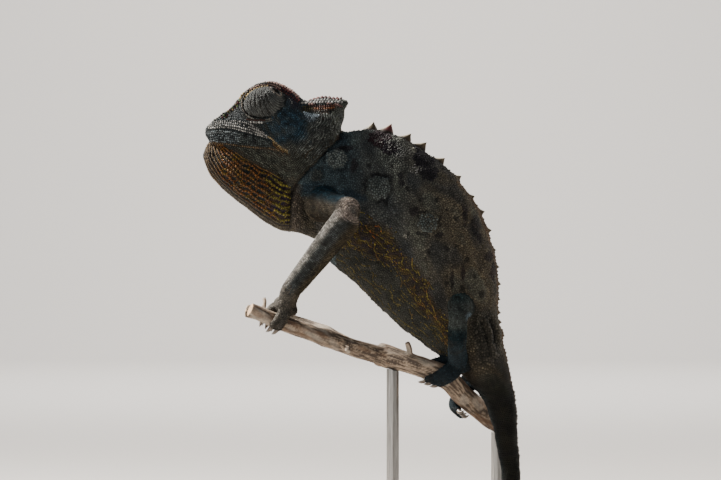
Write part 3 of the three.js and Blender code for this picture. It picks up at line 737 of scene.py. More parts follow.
gap = from_line(x, z, MOUTH)
lips = (head | throat) & (x < -22)
press -= np.where(lips, 0.5 * bump(gap, 0, 0.55), 0)
below = height_on(MOUTH, x) - z
press += np.where(lips & (below < 0), 0.28 * bump(gap, 1.25, 0.8), 0)
press += np.where(lips & (below > 0), 0.14 * bump(gap, 1.1, 0.8), 0)
gap = np.hypot(x - NOSTRIL[0], z - NOSTRIL[1])
press += np.where(head, 0.3 * bump(gap, 1.05, 0.6) - 0.75 * bump(gap, 0, 0.75), 0)

gap = from_line(x, z, CASQUE_CREASE)
press -= np.where(head, 0.3 * bump(gap, 0, 0.9), 0)
# The jaw overhangs the neck all along its rear edge.
gap = from_line(x, z, NECK_CREASE)
behind = behind_jaw(x, z)
near_jaw = (head | throat | body) & (z < 153)
press -= np.where(near_jaw, 0.9 * bump(behind, 0.7, 1.4) * (gap < 2.5) * step_up(z, 122.5, 128), 0)
press += np.where(near_jaw, 0.5 * bump(behind, -1.3, 1.5) * (gap < 3) * step_up(z, 125, 131), 0)
# The jaw's side runs on into the throat without a step.
lower = np.clip((height_on(THROAT_TOP, x) + 3.5 - z) / 6.5, 0, 1)
wide = np.interp(x, SKULL[:, 0], SKULL[:, 5]) + 0.3
wide += (0.96 * np.interp(x, THROAT[:, 0], THROAT[:, 2]) - wide) * lower - COAT
step = np.where((head | throat) & (lower > 0) & (lower < 1), np.maximum(wide - np.abs(y), 0), 0)
step *= step_up(x, -43, -40) * (1 - step_up(x, -25, -22))
places[:, 1] += np.sign(y) * melted(step[:, None], edges, 0.5, 4)[:, 0]
# The casque ends in a sharp corner.
corner = bump(length(places - (-6.2, 0, 162.4)), 0, 2.8)
places += corner[:, None] * (1.6, 0, 0.3)
places[:, 0] += np.where(head | throat, 0.9 * bump(z, 151.2, 2.2) * (1 - step_up(x, -48.5, -45)), 0)
press -= np.where(head & (x > -18) & (x < -8) & (z > 161), 0.35 * bump(y, 0, 3), 0)

tilt_back = np.array(((math.cos(TURRET_TILT), 0, -math.sin(TURRET_TILT)), (0, 1, 0),
                      (math.sin(TURRET_TILT), 0, math.cos(TURRET_TILT))))
aperture = np.full(len(places), 9.0)
for side in SIDES:
    mine = y * side > 0
    away = places - eye_centre(side)
    reach = length((away @ tilt_back.T) / TURRET)
    near_rim = mine & (head | turret) & (np.abs(y) > 3)
    front = 1 - 0.75 * step_up(away[:, 0], 0.5, 5)
    press -= np.where(near_rim & head, 0.65 * front * bump(reach, 1.04, 0.08), 0)
    press += np.where(near_rim & head, 0.34 * front * bump(reach, 1.15, 0.09), 0)
    under = (away[:, 2] < 1.5) & near_rim & head
    press -= np.where(under, 0.3 * front * bump(reach, 1.26, 0.06), 0)
    angle, turned = fold_angle(away, side)
    here = turret & mine
    aperture = np.where(here, angle, aperture)
    fade = (1 - 0.4 * step_up(angle, 1.6, 2.4)) * (1 - 0.85 * step_up(away[:, 0], 0.5, 4))
    folds = (0.3 * fold_height(places, turned) - 0.23) * fade
    press += np.where(here, folds * step_up(angle, 0.3, 0.42), 0)
    press -= np.where(here, 1.9 * (1 - step_up(angle, HOLE_ANGLE - 0.03, HOLE_ANGLE + 0.07)), 0)
    swell = 0.24 * bump(angle, HOLE_ANGLE + 0.13, 0.1)
    press += np.where(here, swell * (1 - step_up(away[:, 0], 4.2, 5.2)), 0)

# Ridges over the eyes.
for side in SIDES:
    tree = tree_of(eye_ridge(side, 120))
    near = np.flatnonzero(head & (z > 153) & (y * side > 0))
    gap = np.array([tree.find(places[i])[2] for i in near])
    press[near] += np.where(x[near] < -17, 0.42, 0.25) * bump(gap, 0, 1.3)

# Thin ridges fan over the throat.
near = np.flatnonzero((head | throat) & (z < 150) & (x < -22))
share, _ = throat_fan(places[near])
row = throat_row(places[near], share)
ridge = 1 - step_up(np.abs(row - np.round(row)), 0.06, 0.42)
press[near] += (0.36 * ridge - 0.1) * step_up(share, 0, 0.04) * (1 - 0.5 * step_up(row, 9, 11))

# Each thorn of the back stands on a mound of hide, steep on its tail side.
for share, height in THORNS:
    away = places - back_place(share)[0]
    slope = unit(back_place(share + 0.005)[0] - back_place(share - 0.005)[0])
    ahead = away @ slope - 0.5 * height
    gap = np.sqrt(np.maximum((away**2).sum(1) - (away @ slope) ** 2, 0))
    mound = np.where(ahead < 0, bump(ahead, 0, 1.7 * height), bump(ahead, 0, 0.6 * height + 0.4))
    press += np.where(body, 0.14 * height * mound * bump(gap, 0, 0.9 * height + 0.7), 0)

# Folds of the trunk and the raised discs on its flanks.
for cx, cz, r, _ in ROSETTES:
    gap = scalloped(places, cx, cz)
    flank = body & (np.abs(y) > 5)
    disc = (1 - step_up(gap, r * 0.78, r)) * (0.7 + 0.45 * wobble(places, 2.2, 61))
    press += np.where(flank, disc - 0.45 * bump(gap, r * 1.14, r * 0.24), 0)
gap = from_line(x, z, BELLY_FOLD)
press += np.where(body & (np.abs(y) > 3), 0.2 * bump(gap, 0, 1.2) - 0.15 * bump(gap, 1.8, 0.9), 0)
gap = from_line(x, z, SHOULDER_FOLD)
press -= np.where(body, 0.55 * bump(gap, 0, 1.1), 0)
for fold in HIP_FOLDS:
    gap = from_line(x, z, fold)
    crease = 0.7 * bump(gap, 0, 0.9) - 0.4 * bump(gap, 1.5, 0.8)
    press -= np.where(body & (np.abs(y) > 2), crease, 0)
press += np.where(body, 0.16 * wobble(places, 7, 3) + 0.07 * wobble(places, 2.2, 4), 0)

# A knob of coarse scales on the back, where the tail begins.
knob = bump(length(places - (43, 0, 90.8)), 0, 2.4)
hollow = bump(length(places - (42.8, 0, 94.8)), 0, 3.2)
press += np.where(body, 0.6 * knob - 0.6 * hollow, 0)

# Loose skin gathers in rings where the limbs bend.
for gap, reach in gaps_from({"joint": 7, "end": 5}, {"joint": 7, "end": 5}):
    press += np.where(on(*LONG_LIMBS), 0.06 * bump(gap, 0, reach) * np.sin(gap * 3.1), 0)

places += normals * press[:, None]
write_points(skin, places)
normals = unit(melted(read_points(skin.data, "normal"), edges, 0.5, 1))
# Where each point of the trunk and tail is between their rings.
ring = np.round(along * (BODY_RINGS - 1)).astype(int)
away = places - body_centre[ring]
up = (away * body_back[ring]).sum(1) / body_depth[ring]
turned = np.arctan2(away[:, 1] / body_width[ring], up) / (2 * math.pi) % 1
around = np.where(body, turned, around)
past = (away * body_tail[ring]).sum(1) / BODY_LENGTH
along = np.where(body, melted((along + 0.7 * past)[:, None], edges, 0.5, 5)[:, 0], along)
flat = part_lie[nearest]
lie = unit(flat - normals * (flat * normals).sum(1, keepdims=True))
lie = unit(melted(lie, edges, 0.6, 6))

FLESH = ["neck", "trunk_front", "trunk_middle", "trunk_rear", "tail_1", "tail_2", "tail_3",
         "tail_4", "head", "jaw", "casque", "throat", "eyelid_left", "eyelid_right"]
FLESH += [f"{what}_{s}" for s in ("left", "right")
          for what in ("upper_arm", "forearm", "hand", "fingers_outer", "fingers_inner",
                       "thigh", "shin", "foot", "toes_outer", "toes_inner")]

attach(skin, "root")
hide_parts(*FLESH)

# ---------------------------------------------------------------- colours of the hide


def tone(red, green, blue):
    """A colour as it looks on a screen, turned into what a shader reads."""
    return (np.array((red, green, blue)) / 255) ** 2.2


def blend(colour, other, share):
    return colour + (np.asarray(other) - colour) * np.asarray(share)[:, None]


BLUE_BAND = [(-18, 135.8), (-12, 135.4), (-6.7, 134.6), (0.9, 132)]
EYE_SHADOW = [(-23.9, 166.2), (-22, 164), (-20.4, 161)]
COMMISSURE = [(-28.9, 151.5), (-27.3, 150.4), (-25.8, 149.0), (-24.2, 147.8), (-22.7, 147.0)]
LOWER_LIP = [(-46.1, 149.8), (-42.1, 149.3), (-37.5, 148.6), (-32.9, 148.1), (-28.3, 147.8),
             (-22.8, 146.6)]
YELLOW_EDGE = [(-14, 124), (-4, 127), (1.9, 125.6), (7.8, 122.4), (10.7, 119), (13.8, 115.3),
               (16.6, 110.9), (20, 106), (24, 99.5), (27.4, 93)]
CASQUE_STRIPE = [(-18, 160.4), (-14.7, 160.2), (-12, 160.2), (-8.6, 160.6)]
# Dark blotches of the flank: x, z, half length along the back's slope, half height, red share.
BLOTCHES = [(5.6, 151.6, 3.4, 3.6, 0.35), (8.6, 148, 2.3, 2.2, 0.05), (18.8, 144.8, 3.3, 3.6, 0),
            (20.9, 140.4, 3.1, 2.2, 0), (31.7, 128.2, 0.9, 3.3, 0.1), (34.9, 124, 1.5, 3.2, 0),
            (36.2, 120.4, 0.9, 1.6, 0.1), (39, 114.4, 1.5, 1.5, 0.2), (40.4, 109.6, 0.9, 2.6, 0.2),
            (-5.4, 147.8, 3.6, 0.9, 0.1), (-2.4, 142.6, 1.1, 2.6, 0.1), (11.9, 137.9, 0.9, 2.4, 0),
            (15.9, 128.6, 1.7, 1.5, 0.1), (23.6, 121.2, 1.6, 1, 0), (3.6, 139.6, 1.7, 0.8, 0),
            (27.6, 107.6, 0.7, 2.2, 0.1), (31, 109.6, 0.7, 2.2, 0.2)]
SPOTS = [(9.2, 142.6), (2.4, 142.6), (4.9, 139.8), (2.7, 137.4), (13.9, 135.2), (7.6, 131),
         (17.7, 131.9), (22.9, 132.2), (26, 129.1), (14.1, 121.2), (27.8, 120.9), (29.1, 117.8),
         (25.7, 116.9), (27.5, 111.4), (32.1, 113.5), (25.4, 112.9), (25.7, 106.2), (30.6, 104.8),
         (34.4, 108.6), (20.4, 116.2), (10.4, 127.2), (29, 126.4), (36.6, 102.8), (33, 100.2)]


def strand_colour(at, share):
    """The strands: cream in front, then rust and ochre, and yellow behind."""
    c = blend(tone(90, 59, 28), tone(90, 72, 28),
              step_up(wobble(at, 2.4, 34), -0.2, 0.9))
    c = blend(c, tone(76, 61, 42), 0.6 * step_up(wobble(at, 2.8, 36), 0.2, 0.9))
    c = blend(c, tone(96, 88, 38), step_up(at[:, 0] + 1.2 * wobble(at, 4, 31), -29.6, -26.4))
    c = blend(c, tone(84, 72, 52), 0.6 * (1 - step_up(share, 0.01, 0.07)))
    c = blend(c, tone(72, 66, 56), 0.95 * step_up(share, 0.8, 0.88))
    return blend(c, tone(85, 70, 50), step_up(-at[:, 0] + 0.8 * wobble(at, 2, 35), 42.6, 45.4))


def from_temple(at):
    """Distance in side view from the middle of the blue patch behind the eye."""
    return np.hypot(at[:, 0] + 22, at[:, 2] - 155.5)


def mesh_colour(at, share, far):
    """Between the strands: teal black in front, purple behind, some cells brown."""
    kind = wobble(np.stack([np.floor(share * 11), np.floor(far / 2.2), 0 * far], 1) * 3.7, 2, 83)
    c = blend(tone(18, 28, 30), tone(30, 20, 38), step_up(at[:, 0], -32, -26))
    c = blend(c, tone(56, 42, 30), 0.7 * step_up(kind, 0.15, 0.6))
    c = blend(c, tone(40, 37, 32), 0.9 * step_up(share, 0.84, 0.9))
    return blend(c, tone(19, 16, 13), 0.9 * step_up(-at[:, 0], 42, 45))


def hide_colour(at, facing, names, along, around):
    """Colour of the hide at each point: the same marks for the skin and for its scales."""
    x, y, z = at.T
    body, head, throat, turret, upper_arm, hand, foot = (
        starts_with(names, what)
        for what in ("body", "head", "throat", "turret", "upper_arm", "hand", "foot"))
    arm, leg = starts_with(names, *ARM_PARTS), starts_with(names, *LEG_PARTS)
    tail = body * step_up(along, station_shares[TAIL_ROOT - 2], station_shares[TAIL_ROOT])
    from_back = np.minimum(around, 1 - around)  # 0 on the back, 0.5 on the belly
    mottle, fine = wobble(at, 9, 11), wobble(at, 2.4, 12)
    far_shift = np.where(y > 0, FAR_SHIFT, 0)
    c = tone(64, 67, 66)

    def paint(colour, share):
        nonlocal c
        c = blend(c, tone(*colour), share)

    # Trunk and tail.
    paint((79, 72, 59), step_up(x + 3 * mottle, 4, 34) * body)
    paint((76, 80, 74), 0.5 * step_up(mottle, 0.1, 0.9) * body)
    paint((42, 46, 50), 0.5 * step_up(-mottle, 0.2, 1) * body)
    paint((62, 52, 42), 0.8 * step_up(from_back, 0.3, 0.42) * body)
    paint((58, 71, 76), 0.85 * body * step_up(-x, -2, 6))
    gap = from_line(x, z, BLUE_BAND)
    paint((27, 46, 58), 0.7 * bump(gap + 0.6 * fine, 0, 1.8) * body)
    paint((28, 40, 50), 0.7 * body * bump(np.hypot(x + 6, z - 150), 0, 3.5))
    chest = (body | throat) & (x > -21.5) & (x < -4) & (z < 133)
    paint((70, 66, 59), 0.85 * chest * step_up(-x, 5, 12) * step_up(z, 112, 118))
    hip = body * bump(np.hypot(x - 35, z - 92), 0, 15)
    paint((52, 51, 44), 0.7 * hip)
    # The creases of the hip folds are darkened with painted shade.
    for fold in HIP_FOLDS:
        gap = from_line(x, z, fold)
        paint((20, 20, 18), 0.7 * body * bump(gap + 0.2 * fine, 0, 0.9))
    paint((21, 21, 15), 0.95 * tail)
    paint((24, 34, 36), 0.7 * tail * step_up(from_back, 0.32, 0.45))
    bands = np.sin(along * 150 + 0.8 * fine) * 0.5 + 0.5
    paint((17, 16, 15), 0.6 * tail * step_up(bands, 0.55, 0.95))
    # A thin orange-brown rim along the back of the tail is a painted highlight, for light from
    # behind.
    rim = body & (from_back < 0.05) & (along > 0.24)
    paint((92, 66, 40), 0.6 * rim * step_up(0.05 - from_back, 0, 0.03))

    ragged = 0.32 * wobble(at, 1.7, 5) + 0.2 * wobble(at, 3.6, 6)
    for k, (cx, cz, long, tall, red) in enumerate(BLOTCHES):
        dx, dz = x - cx - far_shift, z - cz
        gap = np.hypot(dx / long, dz / tall) + 0.7 * ragged
        dark = tone(22, 19, 25) * (1 - red) + tone(46, 16, 18) * red
        strength, soft = (0.98, 0) if k < 4 else (0.8, 0.18)
        c = blend(c, dark, strength * body * (1 - step_up(gap, 0.92 - soft, 1.02 + soft)))
    for k, (cx, cz) in enumerate(SPOTS):
        r = 0.6 + 0.4 * ((k * 7) % 5) / 4
        gap = np.hypot((x - cx - far_shift) / 0.75, z - cz) + 0.8 * ragged
        paint((18, 17, 18), 0.75 * body * (np.abs(y) > 4) * (1 - step_up(gap, r * 0.72, r * 1.15)))
    for cx, cz, r, pale in ROSETTES:
        gap = scalloped(at, cx, cz)
        flank = body & (np.abs(y) > 5)
        disc = np.array((71, 76, 75) if cz > 130 else (72, 71, 65)) * pale
        paint(disc, 0.75 * flank * (1 - step_up(gap, r * 0.78, r * 1.02)))
        # A broken dark ring round each disc is painted shade in the groove round it.
        broken = step_up(np.sin(np.arctan2(z - cz, x - cx) * 3 + cx), -0.1, 0.5)
        paint((20, 20, 24), 0.7 * flank * (0.1 + 0.9 * broken) * bump(gap, r * 1.2, r * 0.26))
    gap = np.hypot(x - 13.2, z - 120.9)
    paint((120, 118, 110), body * (gap < 0.6))

    # Low on the flank, dark ground under rows of yellow scales.
    low = height_on(YELLOW_EDGE, x) - z + 1.2 * mottle
    ground = body * (x > -8) * (x < 30) * step_up(low, -2.5, 3)
    paint((52, 45, 36), 0.9 * ground)
    olive = step_up(wobble(at, 3.4, 78), -0.2, 0.6) * (1 - step_up(low, 9, 15))
    paint((70, 58, 30), 0.7 * ground * olive)
    paint((38, 32, 42), 0.7 * ground * step_up(wobble(at, 2.4, 77), 0, 0.6))
    paint((48, 50, 46), 0.85 * body * (x > -8) * (x < 30) * step_up(low, 8, 12))

    # Head.
    paint((40, 43, 42), 1.0 * head)
    paint((64, 68, 61), 0.9 * head * step_up(x, -10.5, -8.5) * step_up(z, 149, 152))
    gap = np.hypot((x + 11) / 1.7, (z - 158) / 2.2)
    paint((78, 56, 40), 0.6 * head * bump(gap + 0.3 * fine, 0, 1.1))
    behind = behind_jaw(x, z)
    paint((64, 61, 53), 0.95 * body * (behind < 0.2) * step_up(z, 134, 137) * (z < 153))
    gap = np.hypot(x + 22, (z - 155.5) * 0.9)
    blue = head * (1 - step_up(gap + 2.2 * fine, 2.5, 8.6))
    paint((38, 59, 72), 0.9 * blue)
    paint((20, 27, 31), 0.7 * blue * step_up(wobble(at, 1.9, 88), 0.1, 0.7))
    paint((58, 62, 60), 0.4 * blue * step_up(wobble(at, 2.6, 89), 0.2, 0.9))
    gap = from_line(x, z, EYE_SHADOW)
    paint((34, 28, 40), 0.8 * head * bump(gap, 0, 2.2))
    paint((58, 63, 65), 0.85 * head * step_up(-x, 33, 39) * step_up(z, 151.5, 154))
    paint((36, 44, 48), 0.9 * (head | throat) * step_up(-x, 24, 40) * bump(z, 151, 3))
    paint((56, 52, 43), 0.85 * (head | throat) * step_up(-z, -150, -146.5) * step_up(x, -44, -38))
    gap = from_line(x, z, CASQUE_STRIPE)
    paint((66, 42, 28), 0.85 * head * bump(gap, 0, 1.2) * step_up(x, -17.5, -15))
    gap = np.hypot((x + 16) / 2.2, (z - 157.6) / 1.6)
    paint((62, 70, 76), 0.9 * head * (1 - step_up(gap + 0.3 * fine, 0.7, 1.1)))
    crown = head & (np.abs(y) < 4.2) & (x > -38) & (z > 160)
    paint((70, 56, 46), 0.6 * crown * step_up(x, -36, -30) * (1 - step_up(x, -22, -18)))
    # The crease at the back of the casque is darkened with painted shade.
    gap = from_line(x, z, CASQUE_CREASE)
    paint((20, 22, 23), 0.5 * head * bump(gap, 0, 0.8))

    # Throat: strands over dark meshes, grey-brown along its lower edge.
    near = np.flatnonzero((throat | head) & (z < 150) & (x < -22))
    share, far = throat_fan(at[near])
    in_fan = step_up(share, 0.0, 0.03) * (throat[near] | (share > 0.05))
    row = throat_row(at[near], share)
    strand = 1 - step_up(np.abs(row - np.round(row)), 0.12, 0.3)
    c[near] = blend(c[near], mesh_colour(at[near], share, far), 0.95 * in_fan)
    c[near] = blend(c[near], strand_colour(at[near], share), 0.85 * in_fan * strand)
    paint((66, 60, 53), 0.9 * (throat | body) * bump(x, -20.4, 3) * (z < 137) * (behind > -0.6))
    # The crease under the jaw's rear edge is darkened with painted shade.
    crease = bump(behind, 0.4, 0.8 + 0.2 * fine)
    paint((18, 18, 20), 0.6 * (head | throat | body) * (z < 152) * crease)
    paint((66, 46, 30), 0.5 * (head | body) * bump(np.hypot(x + 7.4, z - 151.2), 0, 1.1))

    # Turrets: pale folds, with painted shade in the thin grooves between them.
    for side in SIDES:
        away = at - eye_centre(side)
        angle, turned = fold_angle(away, side)
        here = turret & (y * side > 0)
        fold = np.maximum(fold_height(at, turned), 0.8 * step_up(away[:, 0], 0.5, 4))
        paint((42, 40, 38), 1.0 * here)
        c = blend(c, tone(66, 68, 67) * (1 + 0.12 * fine)[:, None], here * step_up(fold, 0.12, 0.5))
        paint((118, 106, 94), 0.8 * here * bump(angle, HOLE_ANGLE + 0.17, 0.07))
        reach = length((away @ tilt_back.T) / TURRET)
        # Painted shade in the groove round each turret.
        paint((15, 14, 16), 0.9 * head * (y * side > 0) * bump(reach, 1.05, 0.07))
        # Painted shade inside the hole before the pupil.
        paint((12, 11, 11), 1.0 * here * (1 - step_up(angle, HOLE_ANGLE + 0.05, HOLE_ANGLE + 0.1)))

    # Limbs: slate on the hind legs. The arms have a painted highlight where they face up and
    # forward, and painted shade where they face back and down.
    paint((62, 65, 65), 1.0 * arm)
    # Painted shade where the arms face back and down, and a painted highlight where they face up
    # and forward.
    paint((66, 58, 44), 0.8 * arm * step_up(facing[:, 0] - facing[:, 2], 0.2, 1.1))
    paint((127, 124, 119), 0.9 * arm * step_up(facing[:, 2] - facing[:, 0], 0.3, 1.1))
    elbow = np.array(ARM["joint"]) * np.stack([1 + 0 * y, np.sign(y), 1 + 0 * y], 1)
    from_elbow = length(at - elbow)
    inward = upper_arm * step_up(from_elbow, 3.5, 6.5)
    paint((62, 58, 51), 1.0 * inward)
    paint((27, 46, 55), 0.9 * inward * step_up(facing[:, 2], 0.2, 0.8))
    paint((50, 45, 38), 0.7 * inward * step_up(-facing[:, 2], 0.2, 0.8))
    # A painted highlight on the top of the elbow.
    tip = arm * bump(from_elbow, 3, 3.6) * step_up(facing[:, 2], -0.2, 0.5)
    paint((146, 132, 122), 0.7 * tip)
    paint((30, 41, 45), 1.0 * leg)
    paint((68, 71, 68), 0.6 * leg * step_up(z + 0.3 * fine, 91, 94))
    paint((32, 46, 48), 0.7 * leg * step_up(z, 99.5, 102.5))
    paint((84, 78, 70), 0.6 * hand)
    paint((44, 51, 56), 0.6 * foot)
    paint((34, 34, 33), 0.5 * arm * step_up(wobble(at, 1.5, 98), 0.35, 0.8))
    patches = step_up(wobble(at, 4.5, 21), 0.45, 0.8)
    paint((42, 42, 40), 0.5 * patches * (arm | leg))
    # A pale spot low on the hind leg is a painted highlight.
    gap = np.hypot((x - 32.4) / 0.8, z - 96.2)
    paint((88, 100, 108), 0.8 * leg * (1 - step_up(gap, 1, 1.9)))
    return np.clip(c * (1 + 0.16 * fine + 0.1 * mottle)[:, None], 0.001, 0.9)

# ---------------------------------------------------------------- where scales grow


skin.data.calc_loop_triangles()
skin_faces = np.empty(len(skin.data.loop_triangles) * 3, np.int32)
skin.data.loop_triangles.foreach_get("vertices", skin_faces)
skin_faces = skin_faces.reshape(-1, 3)
skin_surface = BVHTree.FromObject(skin, bpy.context.evaluated_depsgraph_get())
skin_tree = tree_of(places)


BESIDE = 60  # further out to the side than any part of the body


def settle(points):
    """The nearest places on the skin."""
    return np.array([skin_surface.find_nearest(Vector(p * MM))[0] for p in points]) / MM


def side_hits(spots, side):
    """Where points of the side view, x and z, lie on one side of the skin."""
    inward = Vector((0, -side, 0))
    hits = [skin_surface.ray_cast(Vector((x * MM, side * BESIDE * MM, z * MM)), inward)[0]
            for x, z in spots]
    return np.array([h for h in hits if h is not None]).reshape(-1, 3) / MM


def reach_skin(line, side, spacing):
    """Evenly spaced places on one side of the skin, where a line drawn in side view meets it."""
    line = np.asarray(line, float)
    far = lengths_along(line)
    at = np.arange(spacing / 2, far[-1], spacing)
    return side_hits(np.stack([np.interp(at, far, line[:, k]) for k in range(2)], 1), side)


def on_part(name, along, around):
    """Places on a part's own surface."""
    p = next(p for p in parts if p["name"] == name)
    count, sides = p["shape"]
    grid = p["points"].reshape(count, sides, 3)
    i = np.clip(np.asarray(along) * (count - 1), 0, count - 1.001)
    j = (np.asarray(around) % 1) * sides
    i0, j0 = i.astype(int), j.astype(int) % sides
    fi, fj = (i - i0)[:, None], (j - np.floor(j))[:, None]
    j1 = (j0 + 1) % sides
    return ((grid[i0, j0] * (1 - fj) + grid[i0, j1] * fj) * (1 - fi)
            + (grid[i0 + 1, j0] * (1 - fj) + grid[i0 + 1, j1] * fj) * fi)


# Scales with a place of their own, before the rest fills in between them.
placed = []


def place_scales(at, size, rise, colour=None, spread=0.12, joined=0.0, way=None):
    """size is half the width of a scale, rise its height as a share of that, joined how much it
    runs on into the next one of its row, and way which way the row runs."""
    if len(at) == 0:
        return
    shade = np.clip(1 + spread * rng.normal(size=(len(at), 1)), 0.25, 2)
    colour = np.full((len(at), 3), np.nan) if colour is None else np.asarray(colour) * shade
    way = np.full((len(at), 3), np.nan) if way is None else way
    full = np.ones(len(at))
    grown = full * size * rng.uniform(0.9, 1.1, len(at))
    placed.append((at, grown, full * rise, np.broadcast_to(colour, at.shape), full * joined, way))


def stretch_of(line, low, high, spacing, ahead=0.0):
    """Even steps on the skin along the stretch of a line between two places on X."""
    inside = (line[:, 0] > low) & (line[:, 0] < high)
    return settle(even_steps(line[inside] + (ahead, 0, 0), spacing))


def row_way(at):
    return unit(np.gradient(at, axis=0)) if len(at) > 2 else None


def bead_row(line, spacing, size, rise, colour, spread=0.12, joined=0.0, gaps=0.0):
    """A row on both sides, from a line drawn in side view; gaps is the share of beads left out."""
    for side in SIDES:
        at = reach_skin(line, side, spacing)
        if len(at) > 2:
            way = row_way(at)
            at = settle(at + 0.07 * spacing * rng.normal(size=at.shape))
            keep = rng.random(len(at)) >= gaps
            place_scales(at[keep], size, rise, colour, spread, joined, way[keep])


MANY_LEVELS = 997  # more than there are rows over any one edge of the skin


def trace_rows(height, inside, spacing):
    """Points in even steps along the lines on the skin where height passes whole numbers, with
    the way each line runs."""
    faces = skin_faces[inside[skin_faces].all(1)]
    h = height[faces]
    first = np.ceil(h.min(1))
    ends, spots = [], []
    for k in range(4):
        level = first + k
        hit = np.flatnonzero(level <= h.max(1))
        for i, j in ((0, 1), (1, 2), (2, 0)):
            a, b = h[hit, i] - level[hit], h[hit, j] - level[hit]
            cross = (a < 0) != (b < 0)
            f = hit[cross]
            s = (a / np.where(a == b, 1, a - b))[cross][:, None]
            one, two = faces[f, i].astype(np.int64), faces[f, j].astype(np.int64)
            edge = np.minimum(one, two) * len(places) + np.maximum(one, two)
            key = edge * MANY_LEVELS + (level[f] % MANY_LEVELS).astype(np.int64)
            ends.append(np.stack([f * 8 + k, key], 1))
            spots.append(places[one] * (1 - s) + places[two] * s)
    ends, spots = np.concatenate(ends), np.concatenate(spots)
    _, index, node = np.unique(ends[:, 1], return_index=True, return_inverse=True)
    spots = spots[index]
    order = np.argsort(ends[:, 0], kind="stable")
    pairs = node[order].reshape(-1, 2)
    links = [[] for _ in range(len(spots))]
    for a, b in pairs.tolist():
        links[a].append(b)
        links[b].append(a)
    seen = np.zeros(len(spots), bool).tolist()
    at_all, way_all = [], []
    starts_first = sorted(range(len(spots)), key=lambda i: len(links[i]) != 1)
    for start in starts_first:
        if seen[start]:
            continue
        chain, here = [start], start
        seen[start] = True
        while True:
            ahead = [i for i in links[here] if not seen[i]]
            if not ahead:
                break
            here = ahead[0]
            seen[here] = True
            chain.append(here)
        if len(chain) > 3:
            line = spots[chain]
            line[1:-1] = (line[:-2] + 2 * line[1:-1] + line[2:]) / 4
            at = even_steps(line, spacing)
            if len(at) > 2:
                at_all.append(at)
                way_all.append(row_way(at))
    return np.concatenate(at_all), np.concatenate(way_all)


WHITE, PINK = tone(138, 137, 135), tone(148, 122, 116)
GOLD, MAROON = tone(126, 104, 56), tone(92, 52, 52)


def raised(line, up):
    return [(px, pz + up) for px, pz in line]


# Lips and chin.
lip_rows = rows_between(
    [(-47.2, 156), (-42, 156.2), (-37.9, 156.1), (-33.9, 154.9), (-29.6, 152.3)],
    [(-47.6, 154.2), (-41.8, 154.4), (-35.9, 153.1), (-32, 152), (-28.8, 150.9)], 4)
for share, line in lip_rows:
    bead_row(line, 0.68, 0.27, 1.4, WHITE * (0.5 + 0.4 * share), 0.35, 0, 0.08)
bead_row(COMMISSURE, 0.6, 0.3, 1, tone(106, 94, 72), 0.3, 0.2)
bead_row(raised(COMMISSURE, -0.6)[1:], 0.6, 0.3, 1, tone(98, 82, 56), 0.35, 0.2)
bead_row(raised(COMMISSURE, -1.2)[1:], 0.62, 0.28, 0.9, tone(76, 58, 38), 0.3, 0.3, 0.2)
chin_rows = rows_between(
    [(-47, 153), (-44, 153.2), (-37.6, 152.3), (-30.8, 150.5), (-28, 149.4)],
    [(-46.6, 150.4), (-43, 150), (-37.5, 149.3), (-32.9, 148.8), (-28.3, 148.4)], 6)
for share, line in chin_rows:
    line[:, 1] += 0.1 * np.sin(line[:, 0] * 1.7 + 5 * share)
    bead_row(line[: len(line) // 2], 0.6, 0.27, 1.5, tone(74, 80, 82), 0.78, 0.1)
    bead_row(line[len(line) // 2 - 1:], 0.58, 0.26, 1.4, tone(56, 61, 60), 0.6, 0.1)
bead_row(LOWER_LIP, 0.7, 0.3, 0.9, tone(78, 66, 50), 0.3, 0.4)
bead_row([(-46.8, 150.4), (-45.7, 150.2), (-43.8, 149.8)], 0.66, 0.34, 1.1, WHITE, 0.3)
# Round the eye.
bead_row([(-34.4, 156.0), (-33, 155.9), (-31.6, 155.8), (-30.3, 155.8)], 0.82, 0.4, 1.2, WHITE, 0.2)
bead_row([(-35.6, 156.9), (-33.6, 156.5), (-31.6, 156.4), (-29.8, 156.5)], 0.66, 0.3, 1,
         tone(54, 36, 32), 0.3)
for reach, low, high, colour in (
        (1.11, 0.6, 2.2, tone(136, 114, 106)), (1.11, 2.2, 3.6, tone(104, 98, 92)),
        (1.14, 3.6, 4.9, tone(92, 90, 84)), (1.27, 3.5, 5.0, tone(76, 78, 76))):
    turn = np.arange(low, high, 0.05)
    ring = np.stack([TURRET[0] * reach * np.cos(turn), 0 * turn,
                     TURRET[2] * reach * np.sin(turn)], 1) @ tilt_back
    bead_row((ring + EYE)[::-1, ::2], 0.5, 0.24, 1.1, colour, 0.2, 0.5)
# The ridge that runs down the snout, with bumps of several colours.
for side in SIDES:
    canthal = reach_skin([(-43.3, 157.2), (-42, 158.6), (-40.4, 160), (-38.9, 161.4),
                          (-37.3, 162.8)], side, 0.82)
    for k, tint in enumerate(((60, 26, 26), (64, 74, 44), (34, 34, 32), (84, 70, 44))):
        colour = tone(*tint)
        place_scales(canthal[k::4], 0.42, 1.3, colour, 0.2)
        place_scales(settle(canthal[(k + 2) % 4::4] + (0.5, 0, -0.62)), 0.34, 1, colour, 0.3)
